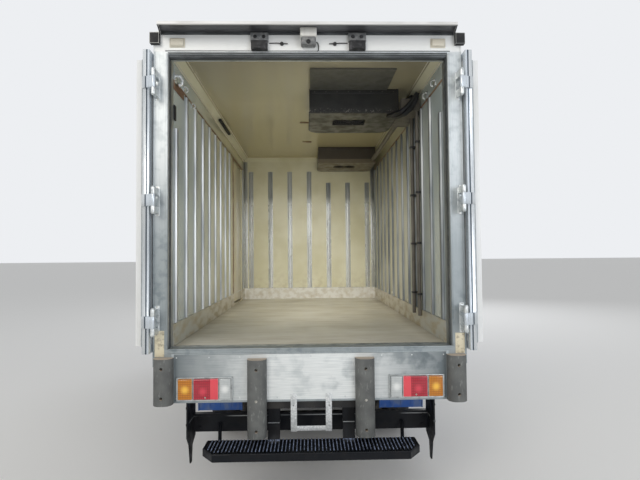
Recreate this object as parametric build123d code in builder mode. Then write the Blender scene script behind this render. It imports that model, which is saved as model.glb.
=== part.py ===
from build123d import *
from math import cos, radians, sin
import os

os.makedirs("parts", exist_ok=True)

# Refrigerated truck: X to its right, Y forward, Z up, millimetres.
# The origin is on the ground, in the middle of the plan of the whole truck.
LENGTH = 5240.0
REAR = -LENGTH / 2 + 150.0
FRONT = LENGTH / 2
AXLE_Z = 348.0
REAR_AXLE_Y = REAR + 1510.0
FRONT_AXLE_Y = FRONT - 1040.0

# Insulated van body
BODY_HALF = 930.0
INNER_HALF = 843.0
FLOOR_TOP = 965.0
DECK_SHEET = 4.0
FLOOR_BASE = FLOOR_TOP - DECK_SHEET
FLOOR_BOTTOM = 865.0
CEILING = 2785.0
ROOF_TOP = 2870.0
OPENING_TOP = 2729.0
FRAME_DEPTH = 110.0
INNER_FRONT = REAR + 3290.0
BODY_FRONT = INNER_FRONT + 95.0
KICK_TOP = FLOOR_TOP + 135.0
KICK_STEP = 6.0
SILL_HALF = 820.0
SILL_BOTTOM = 655.0
SILL_TOP = 943.0

# Chassis
RAIL_HALF = 350.0
RAIL_TOP = 765.0
RAIL_BOTTOM = 565.0
RAIL_FRONT = FRONT - 140.0
RAIL_REAR = REAR + 45.0
RAIL_WALL = 7.0
RAIL_FLANGE = 65.0

# Wheels
TYRE_RADIUS = 348.0
TYRE_WIDTH = 190.0
RIM_RADIUS = 206.0
FRONT_TYRE_X = 700.0
REAR_TYRE_X = (505.0, 735.0)
KINGPIN_X = 600.0

# Cab and its low front hinge
CAB_HALF = 848.0
CAB_BACK = BODY_FRONT + 105.0
HINGE_Y = FRONT - 260.0
HINGE_Z = 545.0
NOSE_SWING = 310.0
DOOR_GAP = 6.0
CAB_WALL = 42.0

SIDES = (("left", -1), ("right", 1))


def block(x0, x1, y0, y1, z0, z1, mode=Mode.ADD):
    """Rectangular solid between two corners, in the part being made."""
    with Locations(((x0 + x1) / 2, (y0 + y1) / 2, (z0 + z1) / 2)):
        Box(x1 - x0, y1 - y0, z1 - z0, mode=mode)


def rod(start, end, radius, mode=Mode.ADD):
    """Round bar between two points, in the part being made."""
    direction = Vector(end) - Vector(start)
    with BuildSketch(Plane(origin=start, z_dir=direction)) as section:
        Circle(radius)
    extrude(section.sketch, amount=direction.length, mode=mode)


def side_profile(points, x0, x1, mode=Mode.ADD):
    """Outline drawn in Y and Z, carried across from x0 to x1."""
    with BuildSketch(Plane.YZ.offset(x0)) as section:
        with BuildLine():
            Polyline(*points, close=True)
        make_face()
    extrude(section.sketch, amount=x1 - x0, mode=mode)


def plan_profile(points, z0, z1, mode=Mode.ADD):
    """Outline drawn in X and Y, carried up from z0 to z1."""
    with BuildSketch(Plane.XY.offset(z0)) as section:
        with BuildLine():
            Polyline(*points, close=True)
        make_face()
    extrude(section.sketch, amount=z1 - z0, mode=mode)


# Ladder frame: two channel rails, cross-members, the cab hinge brackets and the rear buffer brackets
CROSS_Y = (REAR + 90, REAR + 900, REAR + 2100, REAR + 2900, FRONT - 1580, FRONT - 240)
with BuildPart() as chassis_frame:
    with BuildSketch(Plane.XZ.offset(-RAIL_FRONT)):
        with BuildLine():
            Polyline(
                (RAIL_HALF, RAIL_BOTTOM),
                (RAIL_HALF, RAIL_TOP),
                (RAIL_HALF - RAIL_FLANGE, RAIL_TOP),
                (RAIL_HALF - RAIL_FLANGE, RAIL_TOP - RAIL_WALL),
                (RAIL_HALF - RAIL_WALL, RAIL_TOP - RAIL_WALL),
                (RAIL_HALF - RAIL_WALL, RAIL_BOTTOM + RAIL_WALL),
                (RAIL_HALF - RAIL_FLANGE, RAIL_BOTTOM + RAIL_WALL),
                (RAIL_HALF - RAIL_FLANGE, RAIL_BOTTOM),
                close=True,
            )
        make_face()
    extrude(amount=RAIL_FRONT - RAIL_REAR)
    # buffer bracket at the tail and hinge bracket at the nose
    block(275, 360, REAR + 1, RAIL_REAR, 470, SILL_BOTTOM - 2)
    block(275, RAIL_HALF, REAR + 41, RAIL_REAR + 8, RAIL_BOTTOM, RAIL_TOP)
    block(RAIL_HALF, RAIL_HALF + 12, HINGE_Y - 60, HINGE_Y + 45, HINGE_Z - 40, RAIL_BOTTOM + 60)
    mirror(about=Plane.YZ)
    for y in CROSS_Y:
        inside = RAIL_HALF - RAIL_WALL
        block(-inside, inside, y - 30, y - 25, RAIL_BOTTOM + 30, RAIL_TOP - 30)
        block(-inside, inside, y - 30, y + 30, RAIL_TOP - 36, RAIL_TOP - 30)
        block(-inside, inside, y - 30, y + 30, RAIL_BOTTOM + 30, RAIL_BOTTOM + 36)
    rod((-408, HINGE_Y, HINGE_Z), (408, HINGE_Y, HINGE_Z), 15)
chassis_frame.part.label = "chassis_frame"
export_step(chassis_frame.part, "parts/chassis_frame.step")

# Body sills on the rails and cross-bearers under the insulated floor
BEARER_Y = [REAR + 80 + 410 * i for i in range(9)]
with BuildPart() as subframe:
    for side in (-1, 1):
        block(side * 318 - 32, side * 318 + 32, RAIL_REAR, BODY_FRONT - 10, RAIL_TOP, RAIL_TOP + 50)
    for y in BEARER_Y:
        with BuildSketch(Plane.YZ.offset(-BODY_HALF + 15)):
            with BuildLine():
                Polyline(
                    (y - 22, RAIL_TOP + 50),
                    (y + 22, RAIL_TOP + 50),
                    (y + 22, RAIL_TOP + 55),
                    (y - 17, RAIL_TOP + 55),
                    (y - 17, FLOOR_BOTTOM - 5),
                    (y + 22, FLOOR_BOTTOM - 5),
                    (y + 22, FLOOR_BOTTOM),
                    (y - 22, FLOOR_BOTTOM),
                    close=True,
                )
            make_face()
        extrude(amount=2 * BODY_HALF - 30)
subframe.part.label = "subframe"
export_step(subframe.part, "parts/subframe.step")

# Insulated floor, walls, roof and front wall, split where the real panels meet
WALL_REAR = REAR + FRAME_DEPTH
DECK_HALF = INNER_HALF - KICK_STEP - 2
with BuildPart() as van_floor:
    block(-BODY_HALF, BODY_HALF, WALL_REAR, BODY_FRONT, FLOOR_BOTTOM, FLOOR_BASE)
    block(-DECK_HALF, DECK_HALF, WALL_REAR + 1, INNER_FRONT - KICK_STEP - 2, FLOOR_BASE, FLOOR_TOP)
van_floor.part.label = "van_floor"
export_step(van_floor.part, "parts/van_floor.step")

SIDE_DOOR_Y = (REAR + 2445.0, REAR + 3075.0)
SIDE_DOOR_Z = (985.0, 2590.0)
for name, side in SIDES:
    with BuildPart() as van_wall:
        block(INNER_HALF, BODY_HALF, WALL_REAR, INNER_FRONT, FLOOR_BASE, CEILING)
        block(INNER_HALF - KICK_STEP, INNER_HALF, WALL_REAR, INNER_FRONT, FLOOR_BASE, KICK_TOP)
        if side < 0:
            mirror(about=Plane.YZ, mode=Mode.REPLACE)
            block(-BODY_HALF - 1, -INNER_HALF + 10, *SIDE_DOOR_Y, *SIDE_DOOR_Z, mode=Mode.SUBTRACT)
    van_wall.part.label = f"van_wall_{name}"
    export_step(van_wall.part, f"parts/van_wall_{name}.step")

with BuildPart() as van_front_wall:
    block(-BODY_HALF, BODY_HALF, INNER_FRONT, BODY_FRONT, FLOOR_BASE, CEILING)
    fillet(van_front_wall.edges().filter_by(Axis.Z).group_by(Axis.Y)[-1], 25)
    block(
        -INNER_HALF + KICK_STEP, INNER_HALF - KICK_STEP,
        INNER_FRONT - KICK_STEP, INNER_FRONT, FLOOR_BASE, KICK_TOP,
    )
van_front_wall.part.label = "van_front_wall"
export_step(van_front_wall.part, "parts/van_front_wall.step")

COVE = 55.0
with BuildPart() as van_roof:
    block(-BODY_HALF, BODY_HALF, WALL_REAR, BODY_FRONT, CEILING, ROOF_TOP)
    fillet(van_roof.edges().group_by(Axis.Z)[-1].filter_by(Axis.Y), 30)
    for side in (-1, 1):
        wall = side * INNER_HALF
        with BuildSketch(Plane.XZ.offset(-INNER_FRONT)):
            with BuildLine():
                Polyline((wall, CEILING), (wall - side * COVE, CEILING), (wall, CEILING - COVE), close=True)
            make_face()
        extrude(amount=INNER_FRONT - WALL_REAR)
    side_profile(
        [(INNER_FRONT, CEILING), (INNER_FRONT - COVE, CEILING), (INNER_FRONT, CEILING - COVE)],
        -INNER_HALF, 100,
    )
van_roof.part.label = "van_roof"
export_step(van_roof.part, "parts/van_roof.step")

# Stainless rear portal, its lamp sill and the rain visor over the doors
LAMP_X = (462.0, 788.0)
LAMP_Z = (668.0, 802.0)
with BuildPart() as rear_frame:
    with BuildSketch(Plane.XZ.offset(-REAR - FRAME_DEPTH)):
        with Locations((0, (FLOOR_BOTTOM + ROOF_TOP) / 2)):
            Rectangle(2 * BODY_HALF, ROOF_TOP - FLOOR_BOTTOM)
        with Locations((0, (FLOOR_TOP + OPENING_TOP) / 2)):
            Rectangle(2 * INNER_HALF, OPENING_TOP - FLOOR_TOP, mode=Mode.SUBTRACT)
    extrude(amount=FRAME_DEPTH)
    fillet(rear_frame.edges().group_by(Axis.Z)[-1].filter_by(Axis.Y), 30)
    block(-SILL_HALF, SILL_HALF, REAR, REAR + 40, FLOOR_BOTTOM, SILL_TOP, mode=Mode.SUBTRACT)
    block(-INNER_HALF, INNER_HALF, REAR + 14, REAR + 60, OPENING_TOP - 12, OPENING_TOP)
rear_frame.part.label = "rear_frame"
export_step(rear_frame.part, "parts/rear_frame.step")

with BuildPart() as rear_sill:
    block(-SILL_HALF, SILL_HALF, REAR, REAR + 4, SILL_BOTTOM, SILL_TOP)
    block(-SILL_HALF, SILL_HALF, REAR, REAR + 40, SILL_TOP - 4, SILL_TOP)
    block(-SILL_HALF, SILL_HALF, REAR, REAR + 40, SILL_BOTTOM, SILL_BOTTOM + 4)
    for side in (-1, 1):
        x0, x1 = sorted((side * LAMP_X[0], side * LAMP_X[1]))
        block(x0, x1, REAR - 1, REAR + 5, *LAMP_Z, mode=Mode.SUBTRACT)
        x0, x1 = sorted((side * (SILL_HALF - 4), side * SILL_HALF))
        block(x0, x1, REAR, REAR + 40, SILL_BOTTOM, SILL_TOP)
        x0, x1 = sorted((side * SILL_HALF, side * 915))
        block(x0, x1, REAR + 4, REAR + 10, SILL_BOTTOM + 8, FLOOR_BOTTOM)
        x0, x1 = sorted((side * 300, side * 346))
        block(x0, x1, REAR + 4, REAR + 40, SILL_BOTTOM + 4, SILL_TOP - 4)
rear_sill.part.label = "rear_sill"
export_step(rear_sill.part, "parts/rear_sill.step")

VISOR_LIP = REAR - 125.0
VISOR_HALF = (893.0, 872.0)
with BuildPart() as rear_visor:
    plan_profile(
        [
            (-VISOR_HALF[0], REAR), (VISOR_HALF[0], REAR),
            (VISOR_HALF[1], VISOR_LIP), (-VISOR_HALF[1], VISOR_LIP),
        ],
        ROOF_TOP - 8, ROOF_TOP - 2,
    )
    block(-VISOR_HALF[1], VISOR_HALF[1], VISOR_LIP, VISOR_LIP + 6, ROOF_TOP - 25, ROOF_TOP - 2)
    for side in (-1, 1):
        plan_profile(
            [
                (side * VISOR_HALF[0], REAR), (side * VISOR_HALF[1], VISOR_LIP),
                (side * (VISOR_HALF[1] - 6), VISOR_LIP), (side * (VISOR_HALF[0] - 6), REAR),
            ],
            ROOF_TOP - 20, ROOF_TOP - 2,
        )
        x0, x1 = sorted((side * 888, side * 944))
        block(x0, x1, REAR - 32, REAR, 2782, 2848)
    fillet(rear_visor.edges().filter_by(Axis.Y).group_by(Axis.X)[0], 2)
rear_visor.part.label = "rear_visor"
export_step(rear_visor.part, "parts/rear_visor.step")

# Lock keepers, camera housing and marker lamps on the header
with BuildPart() as header_fittings:
    for side in (-1, 1):
        side_profile(
            [(REAR, 2746), (REAR, 2842), (REAR - 24, 2842), (REAR - 34, 2800), (REAR - 34, 2746)],
            side * 294 - 54, side * 294 + 54,
        )
        x0, x1 = sorted((side * 747, side * 827))
        block(x0, x1, REAR - 14, REAR, 2772, 2820)
    side_profile(
        [(REAR, 2772), (REAR, 2842), (REAR - 52, 2842), (REAR - 60, 2800), (REAR - 40, 2772)],
        -50, 50,
    )
header_fittings.part.label = "header_fittings"
export_step(header_fittings.part, "parts/header_fittings.step")

# Hat-section air rails on the walls, at an even pitch
RAIL_PITCH = 250.0
RAIL_DEPTH = 13.0
RAIL_Z = (1104.0, 2600.0)
SIDE_RAILS_Y = [REAR + 165 + RAIL_PITCH * i for i in range(13)]
with BuildPart() as wall_rails:
    for side in (-1, 1):
        for y in SIDE_RAILS_Y:
            if side < 0 and SIDE_DOOR_Y[0] - 40 < y < SIDE_DOOR_Y[1] + 40:
                continue
            plan_profile(
                [
                    (side * INNER_HALF, y - 30),
                    (side * (INNER_HALF - RAIL_DEPTH), y - 18),
                    (side * (INNER_HALF - RAIL_DEPTH), y + 18),
                    (side * INNER_HALF, y + 30),
                ],
                *RAIL_Z,
            )
    for i in range(-3, 4):
        x = i * RAIL_PITCH
        top = RAIL_Z[1] if i < 1 else RAIL_Z[1] - 145
        plan_profile(
            [
                (x - 30, INNER_FRONT),
                (x - 18, INNER_FRONT - RAIL_DEPTH),
                (x + 18, INNER_FRONT - RAIL_DEPTH),
                (x + 30, INNER_FRONT),
            ],
            RAIL_Z[0], top,
        )
wall_rails.part.label = "wall_rails"
export_step(wall_rails.part, "parts/wall_rails.step")

# Two ceiling evaporators, the return plate behind the rear one, and their pipe cover and drains
EVAPORATORS = ((REAR + 756.0, 5.0, 690.0), (REAR + 2690.0, 110.0, 780.0))
EVAPORATOR_BOTTOM = 2597.0
with BuildPart() as evaporators:
    for y, x0, x1 in EVAPORATORS:
        with BuildSketch(Plane.XY.offset(EVAPORATOR_BOTTOM)) as plan:
            with BuildLine():
                Polyline((x0, y), (x1, y), (x1, y + 580), (x0, y + 580), close=True)
            make_face()
            fillet(plan.vertices().group_by(Axis.Y)[-1], 90)
        extrude(amount=CEILING - EVAPORATOR_BOTTOM)
        block(x0 + 190, x0 + 450, y + 170, y + 330, EVAPORATOR_BOTTOM - 1, EVAPORATOR_BOTTOM + 30,
              mode=Mode.SUBTRACT)
        block(x0 + 20, x1 - 20, y - 1, y + 4, CEILING - 22, CEILING, mode=Mode.SUBTRACT)
    block(10, 600, REAR + 345, EVAPORATORS[0][0] - 4, CEILING - 12, CEILING)
evaporators.part.label = "evaporators"
export_step(evaporators.part, "parts/evaporators.step")

DRAIN_Y = (REAR + 690.0, REAR + 880.0)
with BuildPart() as drain_pipes:
    block(692, INNER_HALF - 14, DRAIN_Y[0] - 25, REAR + 1120, 2590, 2680)
    for y in DRAIN_Y:
        rod((INNER_HALF - 30, y, KICK_TOP - 40), (INNER_HALF - 30, y, 2600), 13)
    rod((INNER_HALF - 90, REAR + 1100, 2640), (INNER_HALF - 90, EVAPORATORS[1][0], 2640), 22)
drain_pipes.part.label = "drain_pipes"
export_step(drain_pipes.part, "parts/drain_pipes.step")

# Condenser and compressor housing high on the front wall
UNIT_Z = (2240.0, 2780.0)
UNIT_FRONT = BODY_FRONT + 375.0
with BuildPart() as condenser_unit:
    with BuildSketch(Plane.YZ.offset(-640)) as unit_side:
        with BuildLine():
            Polyline(
                (BODY_FRONT, UNIT_Z[0]),
                (UNIT_FRONT - 60, UNIT_Z[0]),
                (UNIT_FRONT, UNIT_Z[0] + 90),
                (UNIT_FRONT - 40, UNIT_Z[1] - 60),
                (BODY_FRONT + 190, UNIT_Z[1]),
                (BODY_FRONT, UNIT_Z[1]),
                close=True,
            )
        make_face()
        fillet(unit_side.vertices().group_by(Axis.X)[-2:], 30)
    extrude(amount=1280)
    fillet(condenser_unit.faces().filter_by(Axis.X).edges().group_by(Axis.Y)[-1], 8)
condenser_unit.part.label = "condenser_unit"
export_step(condenser_unit.part, "parts/condenser_unit.step")

# Rear step with its serrated bars and its arms to the chassis
STEP_TOP = 418.0
STEP_HALF = 625.0
BAR_PITCH = 21.0
with BuildPart() as rear_step:
    plan_profile(
        [
            (-STEP_HALF + 70, REAR - 150),
            (STEP_HALF - 70, REAR - 150),
            (STEP_HALF, REAR - 60),
            (STEP_HALF, REAR + 60),
            (-STEP_HALF, REAR + 60),
            (-STEP_HALF, REAR - 60),
        ],
        STEP_TOP - 46, STEP_TOP - 10,
    )
    for i in range(-28, 29):
        x = i * BAR_PITCH
        start = REAR - 128 + 1.3 * max(0.0, abs(x) - 560)
        block(x - 3, x + 3, start, REAR + 50, STEP_TOP - 12, STEP_TOP)
    for side in (-1, 1):
        x0, x1 = sorted((side * 190, side * 260))
        side_profile(
            [
                (REAR + 10, STEP_TOP - 40),
                (REAR + 60, STEP_TOP - 40),
                (REAR + 118, 480),
                (REAR + 118, RAIL_BOTTOM + 30),
                (REAR + 64, RAIL_BOTTOM + 30),
                (REAR + 64, 500),
                (REAR + 10, STEP_TOP - 12),
            ],
            x0, x1,
        )
        rod((side * 545, REAR + 40, STEP_TOP - 28), (side * 572, REAR + 196, 464), 11)
rear_step.part.label = "rear_step"
export_step(rear_step.part, "parts/rear_step.step")

# Under-run bar between its side plates
GUARD_Z = (414.0, 524.0)
with BuildPart() as underrun_guard:
    block(-740, 740, REAR + 202, REAR + 242, *GUARD_Z)
    for side in (-1, 1):
        x0, x1 = sorted((side * 738, side * 746))
        side_profile(
            [
                (REAR + 50, SILL_BOTTOM - 3),
                (REAR + 50, 430),
                (REAR + 100, 370),
                (REAR + 130, 250),
                (REAR + 160, 250),
                (REAR + 175, 350),
                (REAR + 250, 382),
                (REAR + 250, 815),
                (REAR + 210, 815),
                (REAR + 210, SILL_BOTTOM - 3),
            ],
            x0, x1,
        )
        x0, x1 = sorted((side * 262, side * 345))
        block(x0, x1, REAR + 242, REAR + 250, GUARD_Z[0] + 40, RAIL_BOTTOM)
underrun_guard.part.label = "underrun_guard"
export_step(underrun_guard.part, "parts/underrun_guard.step")

# Rubber buffers: a short pair outside, a tall pair inside, with bolt wells
BUFFERS = ((860.0, 111.0, 655.0, 922.0), (317.0, 112.0, 460.0, 910.0))
with BuildPart() as buffers:
    for side in (-1, 1):
        for x, width, z0, z1 in BUFFERS:
            with BuildSketch(Plane.XY.offset(z0)) as section:
                with Locations((side * x, REAR - 35)):
                    Rectangle(width, 70)
                fillet(section.vertices().group_by(Axis.Y)[0], 46)
            extrude(amount=z1 - z0)
            for z in (z0 + 45, z1 - 55):
                with Locations(Plane(origin=(side * x, REAR - 70, z), z_dir=(0, -1, 0))):
                    Hole(9, depth=40)
buffers.part.label = "buffers"
export_step(buffers.part, "parts/buffers.step")

# Three-colour tail lamps in the sill
LENSES = ((470.0, 537.0, 12.0), (541.0, 689.0, 14.0), (693.0, 780.0, 12.0))
with BuildPart() as tail_lamps:
    for side in (-1, 1):
        x0, x1 = sorted((side * (LAMP_X[0] + 1), side * (LAMP_X[1] - 1)))
        block(x0, x1, REAR - 6, REAR + 34, LAMP_Z[0] + 1, LAMP_Z[1] - 1)
        for inner, outer, proud in LENSES:
            x0, x1 = sorted((side * inner, side * outer))
            block(x0, x1, REAR - 6 - proud, REAR - 6, LAMP_Z[0] + 7, LAMP_Z[1] - 7)
tail_lamps.part.label = "tail_lamps"
export_step(tail_lamps.part, "parts/tail_lamps.step")

# Number plate bracket: two slotted uprights and a cross bar
PLATE_HOLES = 105.0
with BuildPart() as plate_bracket:
    for side in (-1, 1):
        x0, x1 = sorted((side * 85, side * 121))
        block(x0, x1, REAR - 6, REAR, 480, 700)
        block(x0, x1, REAR - 6, REAR + 30, 480, 486)
        with Locations(Plane(origin=(side * PLATE_HOLES, REAR - 6, 630), z_dir=(0, -1, 0))):
            Hole(3.5, depth=6)
    block(-85, 85, REAR - 4, REAR, 484, 512)
plate_bracket.part.label = "plate_bracket"
export_step(plate_bracket.part, "parts/plate_bracket.step")


def arch(radius, wall, start, end, y, x0, x1):
    """Curved mudguard about an axle, from one angle to another, across from x0 to x1."""
    with BuildSketch(Plane.YZ.offset(x0)) as section:
        with BuildLine():
            outer = CenterArc((y, AXLE_Z), radius + wall, start, end - start)
            inner = CenterArc((y, AXLE_Z), radius, start, end - start)
            Line(outer @ 0, inner @ 0)
            Line(outer @ 1, inner @ 1)
        make_face()
    extrude(section.sketch, amount=x1 - x0)


# Rear mudguards over the twin wheels, on two stays each
MUDGUARD_RADIUS = 430.0
with BuildPart() as rear_mudguards:
    arch(MUDGUARD_RADIUS, 5, 10, 191, REAR_AXLE_Y, 560, 912)
    for angle in (48, 148):
        y = REAR_AXLE_Y + (MUDGUARD_RADIUS + 13) * cos(radians(angle))
        z = AXLE_Z + (MUDGUARD_RADIUS + 13) * sin(radians(angle))
        rod((RAIL_HALF, y, z), (895, y, z), 12)
    mirror(about=Plane.YZ)
rear_mudguards.part.label = "rear_mudguards"
export_step(rear_mudguards.part, "parts/rear_mudguards.step")


def leaf_spring(y, x, seat_z, half_length, base_z):
    """Pack of four leaves, bowed down over an axle, with its clamp and its two hangers."""
    block(x - 34, x + 34, y - 50, y + 50, base_z, seat_z + 4)
    for i in range(4):
        reach = half_length * (1 - 0.22 * i)
        drop = seat_z - 11 * i
        rise = (reach / half_length) ** 2 * 90
        side_profile(
            [
                (y - reach, drop + rise),
                (y - reach * 0.5, drop + rise * 0.25),
                (y, drop),
                (y + reach * 0.5, drop + rise * 0.25),
                (y + reach, drop + rise),
                (y + reach, drop + rise - 10),
                (y + reach * 0.5, drop + rise * 0.25 - 10),
                (y, drop - 11),
                (y - reach * 0.5, drop + rise * 0.25 - 10),
                (y - reach, drop + rise - 10),
            ],
            x - 30, x + 30,
        )
    for end in (-1, 1):
        tip = y + end * half_length
        block(x - 22, x + 22, tip - 18, tip + 18, seat_z + 70, RAIL_BOTTOM)


# Live rear axle: banjo casing, differential, springs and propeller shaft
SPRING_X = 315.0
GEARBOX_REAR = FRONT_AXLE_Y - 470.0
with BuildPart() as rear_axle:
    rod((-552, REAR_AXLE_Y, AXLE_Z), (552, REAR_AXLE_Y, AXLE_Z), 46)
    with Locations((0, REAR_AXLE_Y, AXLE_Z)):
        Sphere(150)
    rod((0, REAR_AXLE_Y, AXLE_Z), (0, REAR_AXLE_Y + 250, AXLE_Z + 20), 70)
    rod((0, REAR_AXLE_Y + 240, AXLE_Z + 20), (0, GEARBOX_REAR - 4, 540), 36)
    for side in (-1, 1):
        leaf_spring(REAR_AXLE_Y, side * SPRING_X, AXLE_Z + 100, 560, AXLE_Z + 10)
rear_axle.part.label = "rear_axle"
export_step(rear_axle.part, "parts/rear_axle.step")

# Dropped front beam with its kingpin eyes and springs
BEAM_HALF = KINGPIN_X + 22.0
with BuildPart() as front_axle:
    with BuildSketch(Plane.XZ.offset(-FRONT_AXLE_Y - 32)) as beam:
        with BuildLine():
            Polyline(
                (-560, 320), (-430, 250), (430, 250), (560, 320), (BEAM_HALF, 320),
                (BEAM_HALF, 376), (540, 376), (410, 312), (-410, 312), (-540, 376),
                (-BEAM_HALF, 376), (-BEAM_HALF, 320), close=True,
            )
        make_face()
    extrude(amount=64)
    for side in (-1, 1):
        leaf_spring(FRONT_AXLE_Y, side * SPRING_X, AXLE_Z + 40, 520, 300)
        with Locations((side * KINGPIN_X, FRONT_AXLE_Y, AXLE_Z)):
            Cylinder(17, 80, mode=Mode.SUBTRACT)
front_axle.part.label = "front_axle"
export_step(front_axle.part, "parts/front_axle.step")

# Diesel engine and gearbox as one plain mass between the rails
with BuildPart() as engine_block:
    block(-270, 270, FRONT_AXLE_Y - 300, FRONT_AXLE_Y + 260, 480, 930)
    block(-220, 220, FRONT_AXLE_Y + 250, FRONT_AXLE_Y + 380, 500, 825)
    block(-150, 150, GEARBOX_REAR, FRONT_AXLE_Y - 300, 480, 720)
engine_block.part.label = "engine_block"
export_step(engine_block.part, "parts/engine_block.step")

# Fuel tank on the right rail and battery box on the left one
TANK_Y = (REAR + 2190.0, REAR + 2830.0)
with BuildPart() as fuel_tank:
    with BuildSketch(Plane.XZ.offset(-TANK_Y[1])) as tank:
        with Locations((600, 560)):
            Rectangle(400, 330)
        fillet(tank.vertices(), 60)
    extrude(amount=TANK_Y[1] - TANK_Y[0])
    for y in (TANK_Y[0] + 120, TANK_Y[1] - 120):
        block(RAIL_HALF, 420, y - 25, y + 25, 590, 740)
    rod((760, TANK_Y[1] - 90, 670), (830, TANK_Y[1] - 90, 740), 34)
fuel_tank.part.label = "fuel_tank"
export_step(fuel_tank.part, "parts/fuel_tank.step")

with BuildPart() as battery_box:
    block(-800, -420, TANK_Y[0] + 80, TANK_Y[1] - 60, 440, 740)
    fillet(battery_box.edges().group_by(Axis.X)[0], 18)
    for y in (TANK_Y[0] + 160, TANK_Y[1] - 150):
        block(-420, -RAIL_HALF, y - 25, y + 25, 590, 740)
battery_box.part.label = "battery_box"
export_step(battery_box.part, "parts/battery_box.step")

# Side guard bars behind the cab, hung from the cross-bearers
GUARD_Y = (REAR + 2030.0, REAR + 3040.0)
with BuildPart() as side_guards:
    for side in (-1, 1):
        for z in (440, 640):
            x0, x1 = sorted((side * 862, side * 886))
            block(x0, x1, *GUARD_Y, z, z + 80)
        for y in (BEARER_Y[5], BEARER_Y[7]):
            x0, x1 = sorted((side * 840, side * 862))
            block(x0, x1, y - 20, y + 20, 430, RAIL_TOP + 50)
side_guards.part.label = "side_guards"
export_step(side_guards.part, "parts/side_guards.step")

# Front mudguards and the step housings below the cab doors
STEP_BOX_Y = (FRONT_AXLE_Y + 440.0, HINGE_Y + 20.0)
with BuildPart() as front_fenders:
    arch(MUDGUARD_RADIUS, 5, 22, 165, FRONT_AXLE_Y, 560, 836)
    for angle in (58, 132):
        y = FRONT_AXLE_Y + (MUDGUARD_RADIUS + 13) * cos(radians(angle))
        z = AXLE_Z + (MUDGUARD_RADIUS + 13) * sin(radians(angle))
        rod((RAIL_HALF, y, z), (812, y, z), 12)
    with BuildSketch(Plane.YZ.offset(610)):
        with BuildLine():
            Polyline(
                (STEP_BOX_Y[0], 700), (STEP_BOX_Y[0], 830), (STEP_BOX_Y[1] - 60, 830),
                (STEP_BOX_Y[1], 800), (STEP_BOX_Y[1], 380), (STEP_BOX_Y[0] + 30, 380),
                (STEP_BOX_Y[0], 430), close=True,
            )
        make_face()
    extrude(amount=226)
    block(700, 837, STEP_BOX_Y[0] + 50, STEP_BOX_Y[1] - 50, 470, 660, mode=Mode.SUBTRACT)
    block(RAIL_HALF + 13, 610, STEP_BOX_Y[0] + 90, STEP_BOX_Y[0] + 130, 600, 660)
    block(RAIL_HALF, RAIL_HALF + 14, STEP_BOX_Y[0] + 60, STEP_BOX_Y[0] + 160, 590, 670)
    mirror(about=Plane.YZ)
front_fenders.part.label = "front_fenders"
export_step(front_fenders.part, "parts/front_fenders.step")

# Wrap-round front bumper and its lamps
BUMPER_Z = (330.0, 690.0)
with BuildPart() as front_bumper:
    with BuildSketch(Plane.XY.offset(BUMPER_Z[0])) as bumper_plan:
        with BuildLine():
            Polyline(
                (-838, FRONT - 200), (-838, FRONT - 60), (-700, FRONT), (700, FRONT), (838, FRONT - 60),
                (838, FRONT - 200), (800, FRONT - 200), (800, FRONT - 74), (690, FRONT - 28),
                (-690, FRONT - 28), (-800, FRONT - 74), (-800, FRONT - 200), close=True,
            )
        make_face()
        fillet(bumper_plan.vertices().filter_by_position(Axis.Y, FRONT - 61, FRONT + 1), 30)
    extrude(amount=BUMPER_Z[1] - BUMPER_Z[0])
    block(-260, 260, FRONT - 40, FRONT + 1, 420, 520, mode=Mode.SUBTRACT)
    for side in (-1, 1):
        x0, x1 = sorted((side * 520, side * 700))
        block(x0, x1, FRONT - 40, FRONT + 1, 520, 640, mode=Mode.SUBTRACT)
        x0, x1 = sorted((side * 290, side * 345))
        block(x0, x1, RAIL_FRONT, FRONT - 28, 570, 660)
front_bumper.part.label = "front_bumper"
export_step(front_bumper.part, "parts/front_bumper.step")

with BuildPart() as headlamps:
    for side in (-1, 1):
        x0, x1 = sorted((side * 521, side * 699))
        block(x0, x1, FRONT - 120, FRONT - 6, 521, 639)
        fillet(headlamps.solids().sort_by(Axis.X)[0 if side < 0 else -1].edges().group_by(Axis.Y)[-1], 12)
headlamps.part.label = "headlamps"
export_step(headlamps.part, "parts/headlamps.step")

# Cab outline in Y and Z: outside skin and hollow
SCREEN_FOOT = (FRONT - 62.0, 1300.0)
SCREEN_HEAD = (FRONT - 385.0, 1895.0)
SCREEN_OPENING = ((-702.0, -272.0), (702.0, -272.0), (752.0, 272.0), (-752.0, 272.0))
OUTER = (
    (CAB_BACK, 760.0),
    (FRONT_AXLE_Y + 375, 760.0),
    (FRONT_AXLE_Y + 425, 850.0),
    (HINGE_Y - 10, 850.0),
    (HINGE_Y - 10, 722.0),
    (FRONT - 8, 722.0),
    (FRONT - 8, 1000.0),
    SCREEN_FOOT,
    SCREEN_HEAD,
    (FRONT - 480, 1962.0),
    (CAB_BACK + 500, 1990.0),
    (CAB_BACK + 60, 1975.0),
    (CAB_BACK, 1930.0),
)
INNER = (
    (CAB_BACK + 45, 1000.0),
    (FRONT_AXLE_Y + 330, 1000.0),
    (FRONT_AXLE_Y + 330, 895.0),
    (FRONT - 190, 895.0),
    (FRONT - 54, 862.0),
    (FRONT - 54, 1000.0),
    (FRONT - 112, 1290.0),
    (FRONT - 430, 1868.0),
    (FRONT - 500, 1918.0),
    (CAB_BACK + 500, 1945.0),
    (CAB_BACK + 70, 1932.0),
    (CAB_BACK + 45, 1900.0),
)
BELT_Z = 1280.0
TUMBLEHOME = 0.10


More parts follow.
